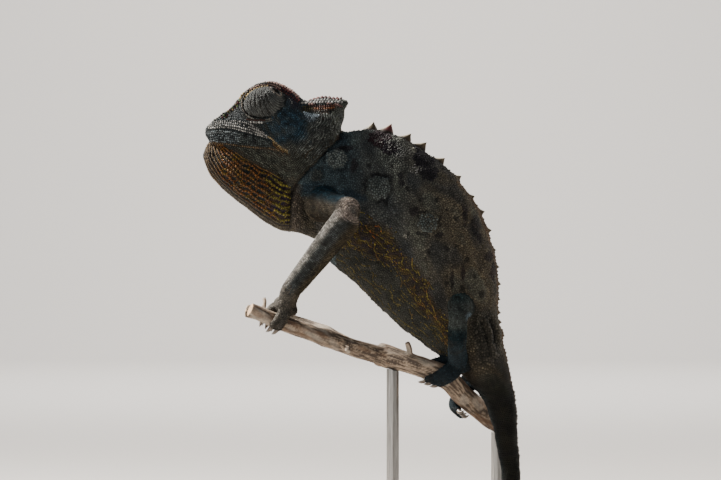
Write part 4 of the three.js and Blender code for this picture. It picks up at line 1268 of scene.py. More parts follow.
# Temple and casque.
for k in range(5):
    bead_row([(-18.2 + 0.3 * k, 159.1 - 0.66 * k), (-16.3, 158.4 - 0.6 * k),
              (-13.4 - 0.35 * k, 157.9 - 0.42 * k)], 0.66, 0.31, 1.3,
             tone(116, 126, 134) * (1.1 - 0.16 * k), 0.4, 0, 0.1)
few = reach_skin([(-22.6, 163.4), (-21.4, 162), (-21.9, 161.2)], LEFT, 0.62)
place_scales(few, 0.2, 1.2, WHITE * 0.7, 0.4)
for k in range(3):
    bead_row([(-18.9 + 0.5 * k, 161.8 + 0.74 * k), (-12, 162.0 + 0.76 * k),
              (-6.2 - 0.25 * k, 162.2 + 0.5 * k)], 0.92, 0.41, 1.5,
             WHITE * (0.9, 0.85, 0.5)[k], 0.3, 0, 0.03)
for k in range(3):
    bead_row(raised(CASQUE_STRIPE[1:], 0.5 - 0.66 * k), 0.7, 0.34, 1.1,
             (tone(74, 44, 34), tone(88, 56, 36), tone(46, 38, 30))[k], 0.5, 0, 0.15)
    bead_row([(-18.5, 160.7 - 0.66 * k), (-15, 160.6 - 0.66 * k)], 0.7, 0.33, 1,
             tone(56, 52, 36), 0.45, 0, 0.2)
crown = curve_through(np.stack([SKULL[:, 0], 0 * SKULL[:, 0], SKULL[:, 1]], 1), 300)
for off in (0, -1.3, 1.3):
    teeth = stretch_of(crown + (0, off, 0), -17, -5.8, 1.24, 0.25 * abs(off))
    tints = np.array((tone(78, 36, 36), tone(108, 94, 90), tone(84, 46, 42)))
    chosen = tints[rng.integers(0, 3, len(teeth))]
    place_scales(teeth, 0.52, 1.9 - 0.3 * abs(off), chosen, 0.25)
for side in SIDES:
    ridge = eye_ridge(side, 300)
    over_eye = stretch_of(ridge, -38, -19, 0.86)
    behind_top = step_up(over_eye[:, 0], -30, -28)
    place_scales(over_eye, 0.43, 1.5, blend(GOLD, PINK, behind_top), 0.3)
    tints = blend(GOLD, MAROON, behind_top)
    place_scales(settle(over_eye + (0.4, side * 0.72, -0.6)), 0.36, 1.1, tints, 0.3)
    place_scales(settle(over_eye + (0, side * 1.2, -1.2)), 0.3, 1, tints * 0.45, 0.3)
    place_scales(settle(over_eye - (0.3, side * 0.95, 0)), 0.38, 1.2, tone(78, 54, 46), 0.35)
    place_scales(stretch_of(ridge, -46.5, -38, 0.84), 0.38, 1.3, tone(72, 72, 68), 0.4)
    place_scales(stretch_of(ridge, -17.5, -6, 0.82), 0.42, 1.4, tone(96, 74, 70), 0.35)
# Small bumps all down the middle of the back, between the thorns.
bumps = back_place(np.cumsum(rng.uniform(0.0045, 0.008, 88)) + 0.085)
place_scales(settle(bumps), 0.4, 1.1, tone(52, 46, 38), 0.25)

# Rows of the cheek and of the side of the jaw: they turn round the jaw's corner up to the casque.
jaw_edge = curve_through([
    (-41, 0, 148.6), (-35, 0, 145.4), (-28.5, 0, 141.6), (-23.5, 0, 139), (-20.4, 0, 138.8),
    (-17, 0, 141.2), (-14.1, 0, 144), (-11.1, 0, 147.6), (-8.6, 0, 151.4), (-7, 0, 155.4),
    (-6.4, 0, 160)], 80)[:, ::2]
inward = from_line(x, z, jaw_edge)
under_lip = np.interp(x, *np.array(LOWER_LIP).T) - 0.4 - z
area = on("head", "throat") | (on("body") & (behind_jaw(x, z) < -0.3) & (z > 137))
area &= z > np.interp(x, *np.array(THROAT_TOP).T) + 0.1
area &= (x > -41) & (inward < 11) & (np.abs(y) > 1.5)
area &= np.where(x < -23.2, under_lip > 0, z < 158.5)
area &= np.where((x > -19) & (z > 156), x > -13, True)
upper = step_up(z + 0.6 * (x + 20), 141, 149)
height = inward / (0.58 + 0.2 * upper)
height = height + 0.5 * wobble(places, 4, 63) + 0.14 * wobble(places, 1.8, 64)
held, way = trace_rows(height, area, 0.54)
on_skin = nearest_of(skin_tree, held)
hide = hide_colour(held, normals[on_skin], names[on_skin], along[on_skin], around[on_skin])
upper = step_up(held[:, 2] + 0.6 * (held[:, 0] + 20), 143, 150)
rows_tint = blend(tone(64, 66, 60), tone(69, 72, 70), upper)
rows_tint *= 1 + (0.3 * wobble(held, 2.6, 65) + 0.45 * step_up(held[:, 0], -9.6, -7.6))[:, None]
rows_tint = blend(hide, rows_tint, step_up(from_temple(held), 4, 8.5))
place_scales(held, 0.25 + 0.05 * upper, 1.5, rows_tint, 0.36, 0.3, way)

# The strands of the throat: rows of fine beads along the fan, and links between them.
fan_skin = (on("throat") | (on("head") & (z < 150))) & (x < -22)
near = np.flatnonzero(fan_skin)
row_height = np.full(len(places), np.nan)
share, far = throat_fan(places[near])
row_height[near] = np.where(share > 0, throat_row(places[near], share), np.nan)
fan_skin &= ~np.isnan(row_height)
row_height = np.where(fan_skin, row_height, -9.5)
held, way = trace_rows(row_height, fan_skin & (row_height > 0.3), 0.5)
share, far = throat_fan(held)
broken = wobble(np.stack([np.round(throat_row(held, share)) * 3, far / 1.1, 0 * far], 1), 1.5, 85)
keep = (share > 0.015) & ((held[:, 0] < -28) | (broken > -0.35))
held, share, way = held[keep], share[keep], way[keep]
full = 0.16 * step_up(held[:, 0], -47, -41) * (1 - step_up(share, 0.76, 0.86))
full = 0.22 + full * step_up(share, 0.02, 0.1)
run = 0.5 - 0.4 * step_up(-held[:, 0], 41, 44)
place_scales(held, full, 1.2, strand_colour(held, share), 0.25, run, way)
cells = np.zeros(len(places))
share, far = throat_fan(places[near])
cells[near] = far / 2.7 + 0.37 * np.floor(row_height[near]) + 0.35 * wobble(places[near], 3, 86)
held, way = trace_rows(cells, fan_skin & (row_height > 1) & (row_height < RIM_ROW), 0.42)
share, far = throat_fan(held)
row = throat_row(held, share)
between = (np.abs(row - np.round(row)) > 0.2) & (held[:, 0] > -43) & (share > 0.04) & (share < 0.84)
between &= (held[:, 0] < -28.5) | (wobble(held, 2, 87) > 0)
held, share, way = held[between], share[between], way[between]
place_scales(held, 0.22, 1.2, 0.85 * strand_colour(held, share), 0.2, 0.4, way)
for k in range(3):  # and on under the chin
    for side in SIDES:
        turn = 0.012 + 0.026 * k
        turn = np.full(200, turn if side == RIGHT else 1 - turn)
        held = settle(even_steps(on_part("throat", np.linspace(0.04, 0.82, 200), turn), 0.6))
        colour = strand_colour(held, np.ones(len(held)))
        place_scales(held, 0.28, 1, colour, 0.2, 0.5, row_way(held))

# Rings of granules round each turret.
for side in SIDES:
    for angle in np.arange(HOLE_ANGLE + 0.06, 2.75, 0.09):
        gaze = fold_axis(angle, side)
        one = unit(np.cross(gaze, (0, 1, 0)))
        two = np.cross(gaze, one)
        turns = np.arange(0, 2 * math.pi, 0.5 / (TURRET_RADIUS * math.sin(angle)))
        turns = turns + rng.random() * 0.5
        ring = one * np.cos(turns)[:, None] + two * np.sin(turns)[:, None]
        out = gaze * math.cos(angle) + ring * math.sin(angle)
        stretch = length((out @ tilt_back.T) / TURRET)
        at = eye_centre(side) + out / stretch[:, None]
        held = settle(at)
        good = starts_with(names[nearest_of(skin_tree, held)], "turret")
        good &= length(held - at) < 0.75
        place_scales(held[good], 0.26, 0.7, None)

# Rings of large granules in and round the discs of the flank.
for cx, cz, r, pale in ROSETTES:
    for side in SIDES:
        for radius in np.arange(0.1, r + 1.9, 0.62):
            turn = np.arange(0, 2 * math.pi, min(0.62 / radius, 6)) + rng.random()
            wave = 1 - 0.07 * np.sin(7 * turn + cx) - 0.04 * np.sin(11 * turn + cz)
            shift = FAR_SHIFT if side == RIGHT else 0
            ring = np.stack([cx + shift + radius * wave * np.cos(turn),
                             cz + radius * wave * np.sin(turn)], 1)
            ring += 0.12 * rng.normal(size=ring.shape)
            at = side_hits(ring, side)
            at = at[names[nearest_of(skin_tree, at)] == "body"]
            if radius < r:
                tint = tone(80, 86, 84) * pale**2.2
                place_scales(at, rng.uniform(0.3, 0.4, len(at)), 1.1, tint, 0.2)
            else:
                place_scales(at, rng.uniform(0.24, 0.31, len(at)), 1, None)

# A few white scales on the dark blotches behind the neck, as painted highlights for glints on the
# dark scales.
for px, pz, long, tall, lean, count in (
        (7.4, 149.4, 2.6, 2.2, -0.6, 34), (11.6, 148.2, 2.6, 1.6, -0.5, 14),
        (17, 141.8, 1.6, 2, -0.6, 20)):
    for across, up in rng.normal(size=(count, 2)) * 0.62:
        spot = (px + long * across, pz + tall * up + lean * long * across)
        place_scales(reach_skin([spot, (spot[0] + 0.3, spot[1])], LEFT, 0.3),
                     rng.uniform(0.14, 0.23), 1.2, WHITE * rng.uniform(0.25, 0.8), 0.2)

# Low on the flank, broken rows of yellow scales that run along the body.
flank = on("body") & (np.abs(y) > 2)
lower = height_on(YELLOW_EDGE, x) - z + 0.8 * wobble(places, 9, 11)
area = flank & (x > -8) & (x < 31) & (lower > -3)
for lean, seed in ((0.12, 91), (-0.1, 92)):
    height = around * 38 + lean * along * BODY_LENGTH / 2.6 + 0.3 * wobble(places, 7, seed)
    height += 0.08 * wobble(places, 2.6, seed + 5)
    held, way = trace_rows(height, area, 0.44)
    nearest_skin = nearest_of(skin_tree, held)
    dash = np.stack([around * 40, along * BODY_LENGTH / 4, 0 * along], 1)[nearest_skin]
    depth = lower[nearest_skin]
    upper = step_up(18 - np.hypot(held[:, 0] - 2, held[:, 2] - 118), 0, 8)
    thick = wobble(dash, 1.5, seed + 9) + 0.25 * np.clip(depth - 1, -3, 1)
    keep = thick - 0.9 * step_up(depth, 9, 14) > -0.5
    held, way, depth, upper = held[keep], way[keep], depth[keep], upper[keep]
    ochre = blend(tone(98, 88, 42), tone(94, 70, 40), step_up(wobble(held, 2, 76), 0, 0.8))
    specks = rng.random(len(held)) * upper
    ochre = np.where((specks > 0.86)[:, None], tone(52, 48, 70), ochre)
    close = step_up(3.8 - np.hypot(held[:, 0] - 4, held[:, 2] - 121.8), 0, 2.5)
    ochre = np.where((rng.random(len(held)) < 0.4 * close)[:, None], tone(118, 72, 36), ochre)
    ochre = blend(ochre, tone(68, 62, 40), 0.6 * step_up(depth, 7, 13))
    place_scales(held, 0.23, 1.1, ochre * 0.92, 0.4, 0.4, way)

# Coarse scales ring the shoulder on the chest.
area = on("body", "throat") & (np.abs(x + 13.5) < 7.7) & (np.abs(z - 124) < 11)
area &= np.abs(y) > 1.5
height = np.hypot(x + 10, z - 129) / 0.82
height = height + 0.7 * wobble(places, 4, 96) + 0.3 * wobble(places, 1.8, 97)
held, way = trace_rows(height, area, 0.68)
place_scales(held, 0.33, 1.3, None, 0.1, 0, way)

# The tail and the limbs wear their scales in rings.
tail_skin = on("body") & (along > station_shares[TAIL_ROOT - 1])
held, way = trace_rows(along * BODY_LENGTH / 0.56 + 0.2 * wobble(places, 3, 94), tail_skin, 0.56)
place_scales(held, 0.29, 0.9, None, 0.1, 0.2, way)
for side in SIDES:
    for k, part in enumerate(LONG_LIMBS):
        limb = ARM if k < 2 else LEG[side]
        start, end = (np.array(limb[spot]) * (1, side, 1)
                      for spot in (("root", "joint"), ("joint", "end"))[k % 2])
        height = (places - start) @ unit(end - start) / 0.56 + 0.25 * wobble(places, 4, 95)
        held, way = trace_rows(height, on(f"{part}_{side_names[side]}"), 0.56)
        place_scales(held, 0.28, 1.15, None, 0.1, 0.1, way)


def clear_of_each_other():
    """Leaves out placed scales that would sit on one placed before them."""
    at, sizes = (np.concatenate([group[k] for group in placed]) for k in (0, 1))
    tree = tree_of(at)
    free = [True] * len(at)
    sizes = sizes.tolist()
    for i in range(len(at)):
        if free[i]:
            for _, j, gap in tree.find_range(at[i], 1.8 * sizes[i]):
                if j > i and gap < 0.74 * (sizes[i] + sizes[j]):
                    free[j] = False
    start = 0
    for k, group in enumerate(placed):
        keep = np.array(free[start:start + len(group[0])])
        start += len(keep)
        placed[k] = tuple(part[keep] for part in group)


clear_of_each_other()

# ---------------------------------------------------------------- the coat of scales


def coarse_hide(at, names):
    """1 where the hide is set with coarse granules: the chest, and the hip behind the leg."""
    chest = bump(np.hypot(at[:, 0] + 15.5, at[:, 2] - 128), 0, 9.5)
    hip = bump(np.hypot((at[:, 0] - 38) * 1.2, (at[:, 2] - 88) * 0.6), 0, 8)
    hide = starts_with(names, "body") | (starts_with(names, "throat") & (at[:, 0] > -21.5))
    return hide * np.clip(2.2 * np.maximum(chest, hip), 0, 1)


def scale_sizes():
    """Half the spacing of scales at each point of the skin."""
    size = np.full(len(places), 0.28)
    size += 0.03 * wobble(places, 6, 41)
    tail = on("body") & (along > station_shares[TAIL_ROOT])
    size = np.where(tail, 0.3 - 0.06 * step_up(along, 0.6, 1), size)
    for where, wanted in (
            (on("head"), 0.27), (on("head") & (x < -36), 0.25), (on("throat"), 0.22),
            (on("turret"), 0.24), (on(*LONG_LIMBS), 0.26), (on("hand", "foot"), 0.24),
            (coarse_hide(places, names) > 0.5, 0.36)):
        size = np.where(where, wanted, size)
    low = height_on(YELLOW_EDGE, x) - z
    return np.where(on("body") & (low > 1) & (x > -4) & (x < 28), 0.27, size)


def fill_in(grain):
    """Places for scales all over the skin, each kept clear of those before it."""
    a, b, c = places[skin_faces].transpose(1, 0, 2)
    area = length(np.cross(b - a, c - a)) / 2
    weight = area / grain[skin_faces[:, 0]] ** 2
    weight[(aperture[skin_faces] < HOLE_ANGLE).any(1)] = 0
    count = int(weight.sum() * 1.5)
    pick = rng.choice(len(area), count, p=weight / weight.sum())
    u, v = rng.random((2, count))
    u, v = np.where(u + v > 1, 1 - u, u)[:, None], np.where(u + v > 1, 1 - v, v)[:, None]
    spots = a[pick] + u * (b - a)[pick] + v * (c - a)[pick]
    size = grain[skin_faces[pick, 0]] * rng.choice((0.88, 1, 1.12), count)
    big = (rng.random(count) < 0.012) & np.char.startswith(names[skin_faces[pick, 0]], "body")
    size = np.where(big, size * 1.55, size)
    order = np.argsort(~big, kind="stable")
    spots, size = spots[order], size[order]
    tree = tree_of(spots)
    free = [True] * count
    sizes = size.tolist()
    for at, sizes_there, *_ in placed:
        for p, r in zip(at, sizes_there):
            for _, j, gap in tree.find_range(p, r + 0.6):
                if gap < 0.9 * (r + sizes[j]):
                    free[j] = False
    kept = []
    for i in range(count):
        if free[i]:
            kept.append(i)
            r = sizes[i]
            for _, j, gap in tree.find_range(spots[i], 1.9 * r):
                if gap < 0.88 * (r + sizes[j]):
                    free[j] = False
    return spots[kept], size[kept]


def neighbours(at, count):
    tree = tree_of(at)
    return np.array([[j for _, j, _ in tree.find_n(p, count + 1)[1:]] for p in at])


grain = melted(scale_sizes()[:, None], edges, 0.5, 3)[:, 0]
fill_spots, fill_size = fill_in(grain)
unset = np.full((len(fill_spots), 3), np.nan)
filled = (fill_spots, fill_size, np.full(len(fill_spots), 0.85), unset,
          np.zeros(len(fill_spots)), unset)
roots, sizes, rises, own_colour, joined, own_way = (
    np.concatenate([group[k] for group in placed] + [rest]) for k, rest in enumerate(filled))
loose = np.arange(len(roots)) >= len(roots) - len(fill_spots)
for _ in range(2):  # each loose scale shuffles away from those it crowds
    near = neighbours(roots, 7)
    apart = roots[:, None] - roots[near]
    gap = np.linalg.norm(apart, axis=2)
    wanted = sizes[:, None] + sizes[near]
    ways = apart / np.maximum(gap, 0.05)[..., None]
    shove = (ways * np.clip(wanted - gap, 0, 1)[..., None]).sum(1)
    roots[loose] = settle(roots[loose] + 0.35 * shove[loose])


# Each scale takes its outline from the room its neighbours leave it.
root_near = nearest_of(skin_tree, roots)
root_normal, root_lie, root_names = normals[root_near], lie[root_near], names[root_near]
root_along, root_around = along[root_near], around[root_near]
root_lie = np.where(np.isnan(own_way), root_lie, own_way)
root_lie = unit(root_lie - root_normal * (root_lie * root_normal).sum(1, keepdims=True))
root_across = np.cross(root_normal, root_lie)
crowd = neighbours(roots, 9)
to_them = roots[crowd] - roots[:, None]
ahead = (to_them * root_lie[:, None]).sum(2)
aside = (to_them * root_across[:, None]).sum(2)
flat_gap = np.maximum(np.hypot(ahead, aside), 0.05)
border = flat_gap * sizes[:, None] / (sizes[:, None] + sizes[crowd])

scale_colour = hide_colour(roots, root_normal, root_names, root_along, root_around)
scale_colour = np.where(np.isnan(own_colour), scale_colour, own_colour)
uncoloured = np.isnan(own_colour[:, 0])
shade = 1 + np.where(uncoloured, 0.2, 0.06)[:, None] * rng.normal(size=(len(roots), 1))
pale = (rng.random(len(roots)) < 0.03) & uncoloured & ~starts_with(root_names, "turret")
blue_side = starts_with(root_names, "head") * bump(from_temple(roots), 0, 13)
limb_roots = starts_with(root_names, *LONG_LIMBS)
mixed = np.maximum(coarse_hide(roots, root_names), 0.9 * np.maximum(blue_side, 0.4 * limb_roots))
mixed = (mixed * uncoloured)[:, None]
depth = height_on(YELLOW_EDGE, roots[:, 0]) - roots[:, 2]
low_flank = (depth > 0) & (depth < 11) & (np.abs(roots[:, 0] - 11) < 19)
low_flank &= starts_with(root_names, "body") & uncoloured & (rng.random(len(roots)) < 0.14)
scale_colour[low_flank] = tone(84, 74, 40)
shade *= 1 + mixed * (np.where(rng.random((len(roots), 1)) < 0.35, 1.55, 0.78) - 1)
scale_colour = scale_colour * np.clip(shade, 0.4, 2) * np.where(pale, 1.5, 1)[:, None]
scale_colour = np.clip(scale_colour, 0.002, 0.85)


def scale_shapes(which, sides):
    """The chosen scales, each with a sunk rim, a shoulder and a crown."""
    n = len(which)
    turn = (np.arange(sides) + 0.5) / sides * 2 * math.pi
    c, s = np.cos(turn), np.sin(turn)
    facing = (ahead[which, :, None] * c + aside[which, :, None] * s) / flat_gap[which, :, None]
    limit = np.where(facing > 0.2, border[which, :, None] / np.maximum(facing, 0.2), 9).min(1)
    run = joined[which, None]
    reach = np.minimum(limit * 0.97, (1.35 + 0.5 * run * np.abs(c)) * sizes[which, None])
    out = root_lie[which, None] * c[:, None] + root_across[which, None] * s[:, None]
    up = root_normal[which, None]
    high = (rises[which] * np.minimum(sizes[which], reach.mean(1)))[:, None, None]
    back = root_lie[which, None] * (0.1 * sizes[which])[:, None, None]
    at = roots[which, None]
    rim = at + out * reach[..., None] - 0.1 * up
    shoulder = at + out * (0.72 * reach)[..., None] + up * (0.62 * high) + back
    top = at + up * high + back
    points = np.concatenate([rim, shoulder, top], 1).reshape(-1, 3)
    k, step = np.arange(sides), (np.arange(sides) + 1) % sides
    one = np.concatenate([
        np.stack([k, step, sides + step], 1), np.stack([k, sides + step, sides + k], 1),
        np.stack([sides + k, sides + step, np.full(sides, 2 * sides)], 1),
    ])
    triangles = (one[None] + (np.arange(n) * (2 * sides + 1))[:, None, None]).reshape(-1, 3)
    # Painted shade darkens each scale's sunk rim, less along its row, and a painted highlight
    # lightens its crown.
    rim_painted_shade = 0.24 + 0.66 * run * np.abs(c) ** 2
    tint = np.concatenate([rim_painted_shade, np.full((n, sides), 0.95), np.full((n, 1), 1.12)], 1)
    colours = (scale_colour[which, None] * tint[..., None]).reshape(-1, 3)
    spot = np.concatenate([np.stack([c, s], 1), np.stack([c, s], 1) * 0.7, [(0, 0)]])
    return points, triangles, colours, spot


def paint_points(obj, colours):
    layer = obj.data.color_attributes.new("coat", "FLOAT_COLOR", "POINT")
    rgba = np.ones((len(colours), 4), np.float32)
    rgba[:, :3] = colours
    layer.data.foreach_set("color", rgba.ravel())


PATCH = 0.003  # how far across a scale's patch is on the unwrap


def unwrap_roots(which, spot):
    """Each scale as a tiny patch at its root's place on an unwrap of its part of the skin."""
    kinds = sorted(set(root_names[which].tolist()))
    across = math.ceil(math.sqrt(len(kinds)))
    cell = np.array([kinds.index(k) for k in root_names[which]])
    corner = np.stack([cell % across, cell // across], 1) / across
    far = root_along[which]
    low = np.array([far[cell == k].min() for k in range(len(kinds))])[cell]
    high = np.array([far[cell == k].max() for k in range(len(kinds))])[cell]
    share = np.stack([(far - low) / np.maximum(high - low, 1e-6), root_around[which]], 1)
    centre = corner + (0.02 + 0.96 * share) / across
    centre = np.clip(centre + 0.0006 * rng.normal(size=centre.shape), 0.004, 0.996)
    return (centre[:, None] + spot * (PATCH / 2)).reshape(-1, 2)


def coat_piece(name, which, sides=6):
    which = np.flatnonzero(which)
    points, triangles, colours, spot = scale_shapes(which, sides)
    assert len(triangles) < 200_000, f"{name} has {len(triangles)} triangles"
    obj = mesh_piece(name, points, triangles)
    paint_points(obj, colours)
    spots = unwrap_roots(which, spot)
    bake = obj.data.uv_layers.new(name="OFBake")
    bake.data.foreach_set("uv", spots[triangles.ravel()].astype(np.float32).ravel())
    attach(obj, "root")
    coats.append(obj)
    return obj


def starts(*what):
    return starts_with(root_names, *what)


coats = []
root_side = np.where(roots[:, 1] < 0, "left", "right")
tail_roots = starts("body") & (root_along > station_shares[TAIL_ROOT])
for s in ("left", "right"):
    mine = root_side == s
    coat_piece(f"coat_head_{s}", starts("head") & mine, 8)
    coat_piece(f"coat_throat_{s}", starts("throat") & mine, 8)
    coat_piece(f"coat_turret_{s}", starts("turret") & mine, 8)
    trunk = starts("body") & ~tail_roots & mine
    half = np.median(root_along[trunk])
    coat_piece(f"coat_trunk_front_{s}", trunk & (root_along <= half))
    coat_piece(f"coat_trunk_rear_{s}", trunk & (root_along > half))
    coat_piece(f"coat_arm_{s}", starts(*ARM_PARTS) & mine)
    coat_piece(f"coat_leg_{s}", starts(*LEG_PARTS) & mine)
coat_piece("coat_tail", tail_roots)

skin_colour = hide_colour(places, normals, names, along, around)
# The hide between the scales is painted at half their colour, as painted shade in the gaps between
# them.
paint_points(skin, np.clip(skin_colour * 0.5, 0, 1))

# ---------------------------------------------------------------- finishes


def finish(name):
    """A new material with its nodes and its shader."""
    made = bpy.data.materials.new(name)
    made.use_nodes = True
    tree = made.node_tree
    return made, tree, tree.nodes["Principled BSDF"]


def add_node(tree, kind, **settings):
    node = tree.nodes.new(kind)
    for key, value in settings.items():
        if key in node.inputs:
            node.inputs[key].default_value = value
        else:
            setattr(node, key.lower(), value)
    return node


def object_noise(tree, scale, detail=3, roughness=0.55, stretch=(1, 1, 1)):
    where = tree.nodes.new("ShaderNodeTexCoord")
    mapping = add_node(tree, "ShaderNodeMapping", Scale=stretch)
    noise = add_node(tree, "ShaderNodeTexNoise", Scale=scale, Detail=detail, Roughness=roughness)
    tree.links.new(where.outputs["Object"], mapping.inputs["Vector"])
    tree.links.new(mapping.outputs["Vector"], noise.inputs["Vector"])
    return noise


def ramp(tree, source, stops):
    node = tree.nodes.new("ShaderNodeValToRGB")
    band = node.color_ramp
    while len(band.elements) < len(stops):
        band.elements.new(0.5)
    for element, (at, colour) in zip(band.elements, stops):
        element.position = at
        element.color = (*colour, 1) if len(colour) == 3 else colour
    tree.links.new(source, node.inputs["Fac"])
    return node


def dial(node, **settings):
    """Sets a node's inputs; an underscore stands for a space in an input's name."""
    for key, value in settings.items():
        node.inputs[key.replace("_", " ")].default_value = value


def coloured(tree, tints, shader):
    tree.links.new(tints.outputs["Color"], shader.inputs["Base Color"])


def multiplied(tree, one, two, shader):
    """Gives a shader the product of two colours."""
    mix = add_node(tree, "ShaderNodeMix", Data_Type="RGBA", Blend_Type="MULTIPLY")
    mix.inputs["Factor"].default_value = 1
    tree.links.new(one.outputs["Color"], mix.inputs[6])
    tree.links.new(two.outputs["Color"], mix.inputs[7])
    tree.links.new(mix.outputs[2], shader.inputs["Base Color"])


def bumped(tree, noise, strength, distance, shader):
    """The shader's surface rises with a noise, distance in millimetres."""
    rise = add_node(tree, "ShaderNodeBump", Strength=strength, Distance=distance * MM)
    tree.links.new(noise.outputs["Fac"], rise.inputs["Height"])
    tree.links.new(rise.outputs["Normal"], shader.inputs["Normal"])


def scale_finish(name, rough_low, rough_high, bump_height, gloss_level=0.2):
    """Hide and scales: the painted colour, worn and dusted unevenly, dry with a faint gloss."""
    made, tree, shader = finish(name)
    paint = add_node(tree, "ShaderNodeVertexColor", Layer_Name="coat")
    dust = object_noise(tree, 260, 4)
    grime = ramp(tree, dust.outputs["Fac"], [(0.3, (0.72, 0.72, 0.73)), (0.72, (1.18, 1.15, 1.1))])
    multiplied(tree, paint, grime, shader)
    sheen = object_noise(tree, 700, 2)
    gloss = tree.nodes.new("ShaderNodeMapRange")
    dial(gloss, To_Min=rough_low, To_Max=rough_high)
    tree.links.new(sheen.outputs["Fac"], gloss.inputs["Value"])
    tree.links.new(gloss.outputs["Result"], shader.inputs["Roughness"])
    bumped(tree, object_noise(tree, 5200, 3), 0.5, bump_height, shader)
    dial(shader, Specular_IOR_Level=gloss_level)
    return made


hide_finish = scale_finish("hide_between_scales", 0.7, 0.9, 0.05)
scales_finish = scale_finish("dry_scales", 0.5, 0.8, 0.04)
limb_finish = scale_finish("dull_limb_scales", 0.8, 0.95, 0.04, 0.05)
skin.data.materials.append(hide_finish)
for obj in coats:
    limb = "arm" in obj.name or "leg" in obj.name
    obj.data.materials.append(limb_finish if limb else scales_finish)

# ---------------------------------------------------------------- thorns, claws and eyes

def loft_piece(name, lofts):
    """One piece from several closed lofts, each an array of rings."""
    points, triangles, start = [], [], 0
    for rings in lofts:
        count, sides = rings.shape[:2]
        for face in ring_faces(count, sides):
            triangles += [(face[0] + start, face[i] + start, face[i + 1] + start)
                          for i in range(1, len(face) - 1)]
        points.append(rings.reshape(-1, 3))
        start += count * sides
    obj = mesh_piece(name, np.concatenate(points), triangles)
    only_selected(obj)
    bpy.ops.object.mode_set(mode="EDIT")
    bpy.ops.mesh.select_all(action="SELECT")
    bpy.ops.mesh.normals_make_consistent(inside=False)
    bpy.ops.object.mode_set(mode="OBJECT")
    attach(obj, "root")
    return obj


THORN_RINGS, THORN_SIDES = 9, 12


def thorn(share, height):
    """A spine on the back line, steep on its tail side, its front sloping up to the tip."""
    foot = back_place(share)[0]
    along_back = unit(back_place(share + 0.01)[0] - back_place(share - 0.01)[0])
    out = unit(np.array((-along_back[2], 0, along_back[0])))
    foot_size = 0.66 * height + 1.2
    rings = []
    turn = np.arange(THORN_SIDES) / THORN_SIDES * 2 * math.pi
    for u in np.linspace(0, 1, THORN_RINGS):
        r = foot_size * (1 - u) ** 1.1 + 0.05
        lean = 0.72 * u + 0.06 * math.sin(5 * u)
        centre = foot + out * ((height + 1) * u - 1) + along_back * foot_size * lean
        keel = 1 + 0.1 * np.cos(4 * turn)
        rings.append(centre + along_back * (r * keel * np.cos(turn))[:, None]
                     + np.array((0, 1, 0)) * (0.56 * r * keel * np.sin(turn))[:, None])
    return np.array(rings)


spines = [thorn(share, height) for share, height in THORNS]
thorns = loft_piece("thorns", spines)
spots = read_points(thorns.data) / MM
tip = np.tile(np.repeat(np.linspace(0, 1, THORN_RINGS), THORN_SIDES), len(THORNS))
turn = np.arange(THORN_SIDES) / THORN_SIDES * 2 * math.pi
front = np.tile(np.clip(-np.cos(turn), 0, 1), len(spots) // THORN_SIDES)
second = np.repeat(np.arange(len(THORNS)) == 1, len(spots) // len(THORNS))[:, None]
brown = np.where(second, tone(62, 32, 32), tone(68, 60, 48))
brown = brown * (1 + 0.4 * wobble(spots, 5, 52)[:, None])
thorn_colour = blend(tone(40, 34, 31), brown, step_up(tip, 0.25, 0.5))
# The thorns are paler towards their tips, and a painted highlight lightens the side of each that
# faces the head.
horn = step_up(0.6 * front + 0.45 * tip, 0.5, 0.85)
thorn_colour = blend(thorn_colour, tone(156, 148, 134), 0.9 * horn)
paint_points(thorns, thorn_colour * (1 + 0.3 * wobble(spots, 0.8, 51))[:, None])


claw_lofts = {}
for claw in claws:
    base = claw["tip"] - claw["ahead"] * 0.7
    line = curve_through([base, base + claw["ahead"] * 1.5 + claw["bow"] * 0.55,
                          base + claw["ahead"] * (CLAW_LENGTH + 0.5) - claw["bow"] * 0.15], 9)
    claw_lofts.setdefault(claw["name"], []).append(
        tube_rings(line, (0.72, 0.66, 0.52, 0.34, 0.09), 10, (False, False)))
claw_pieces = [loft_piece(f"claws_{name}", lofts) for name, lofts in claw_lofts.items()]


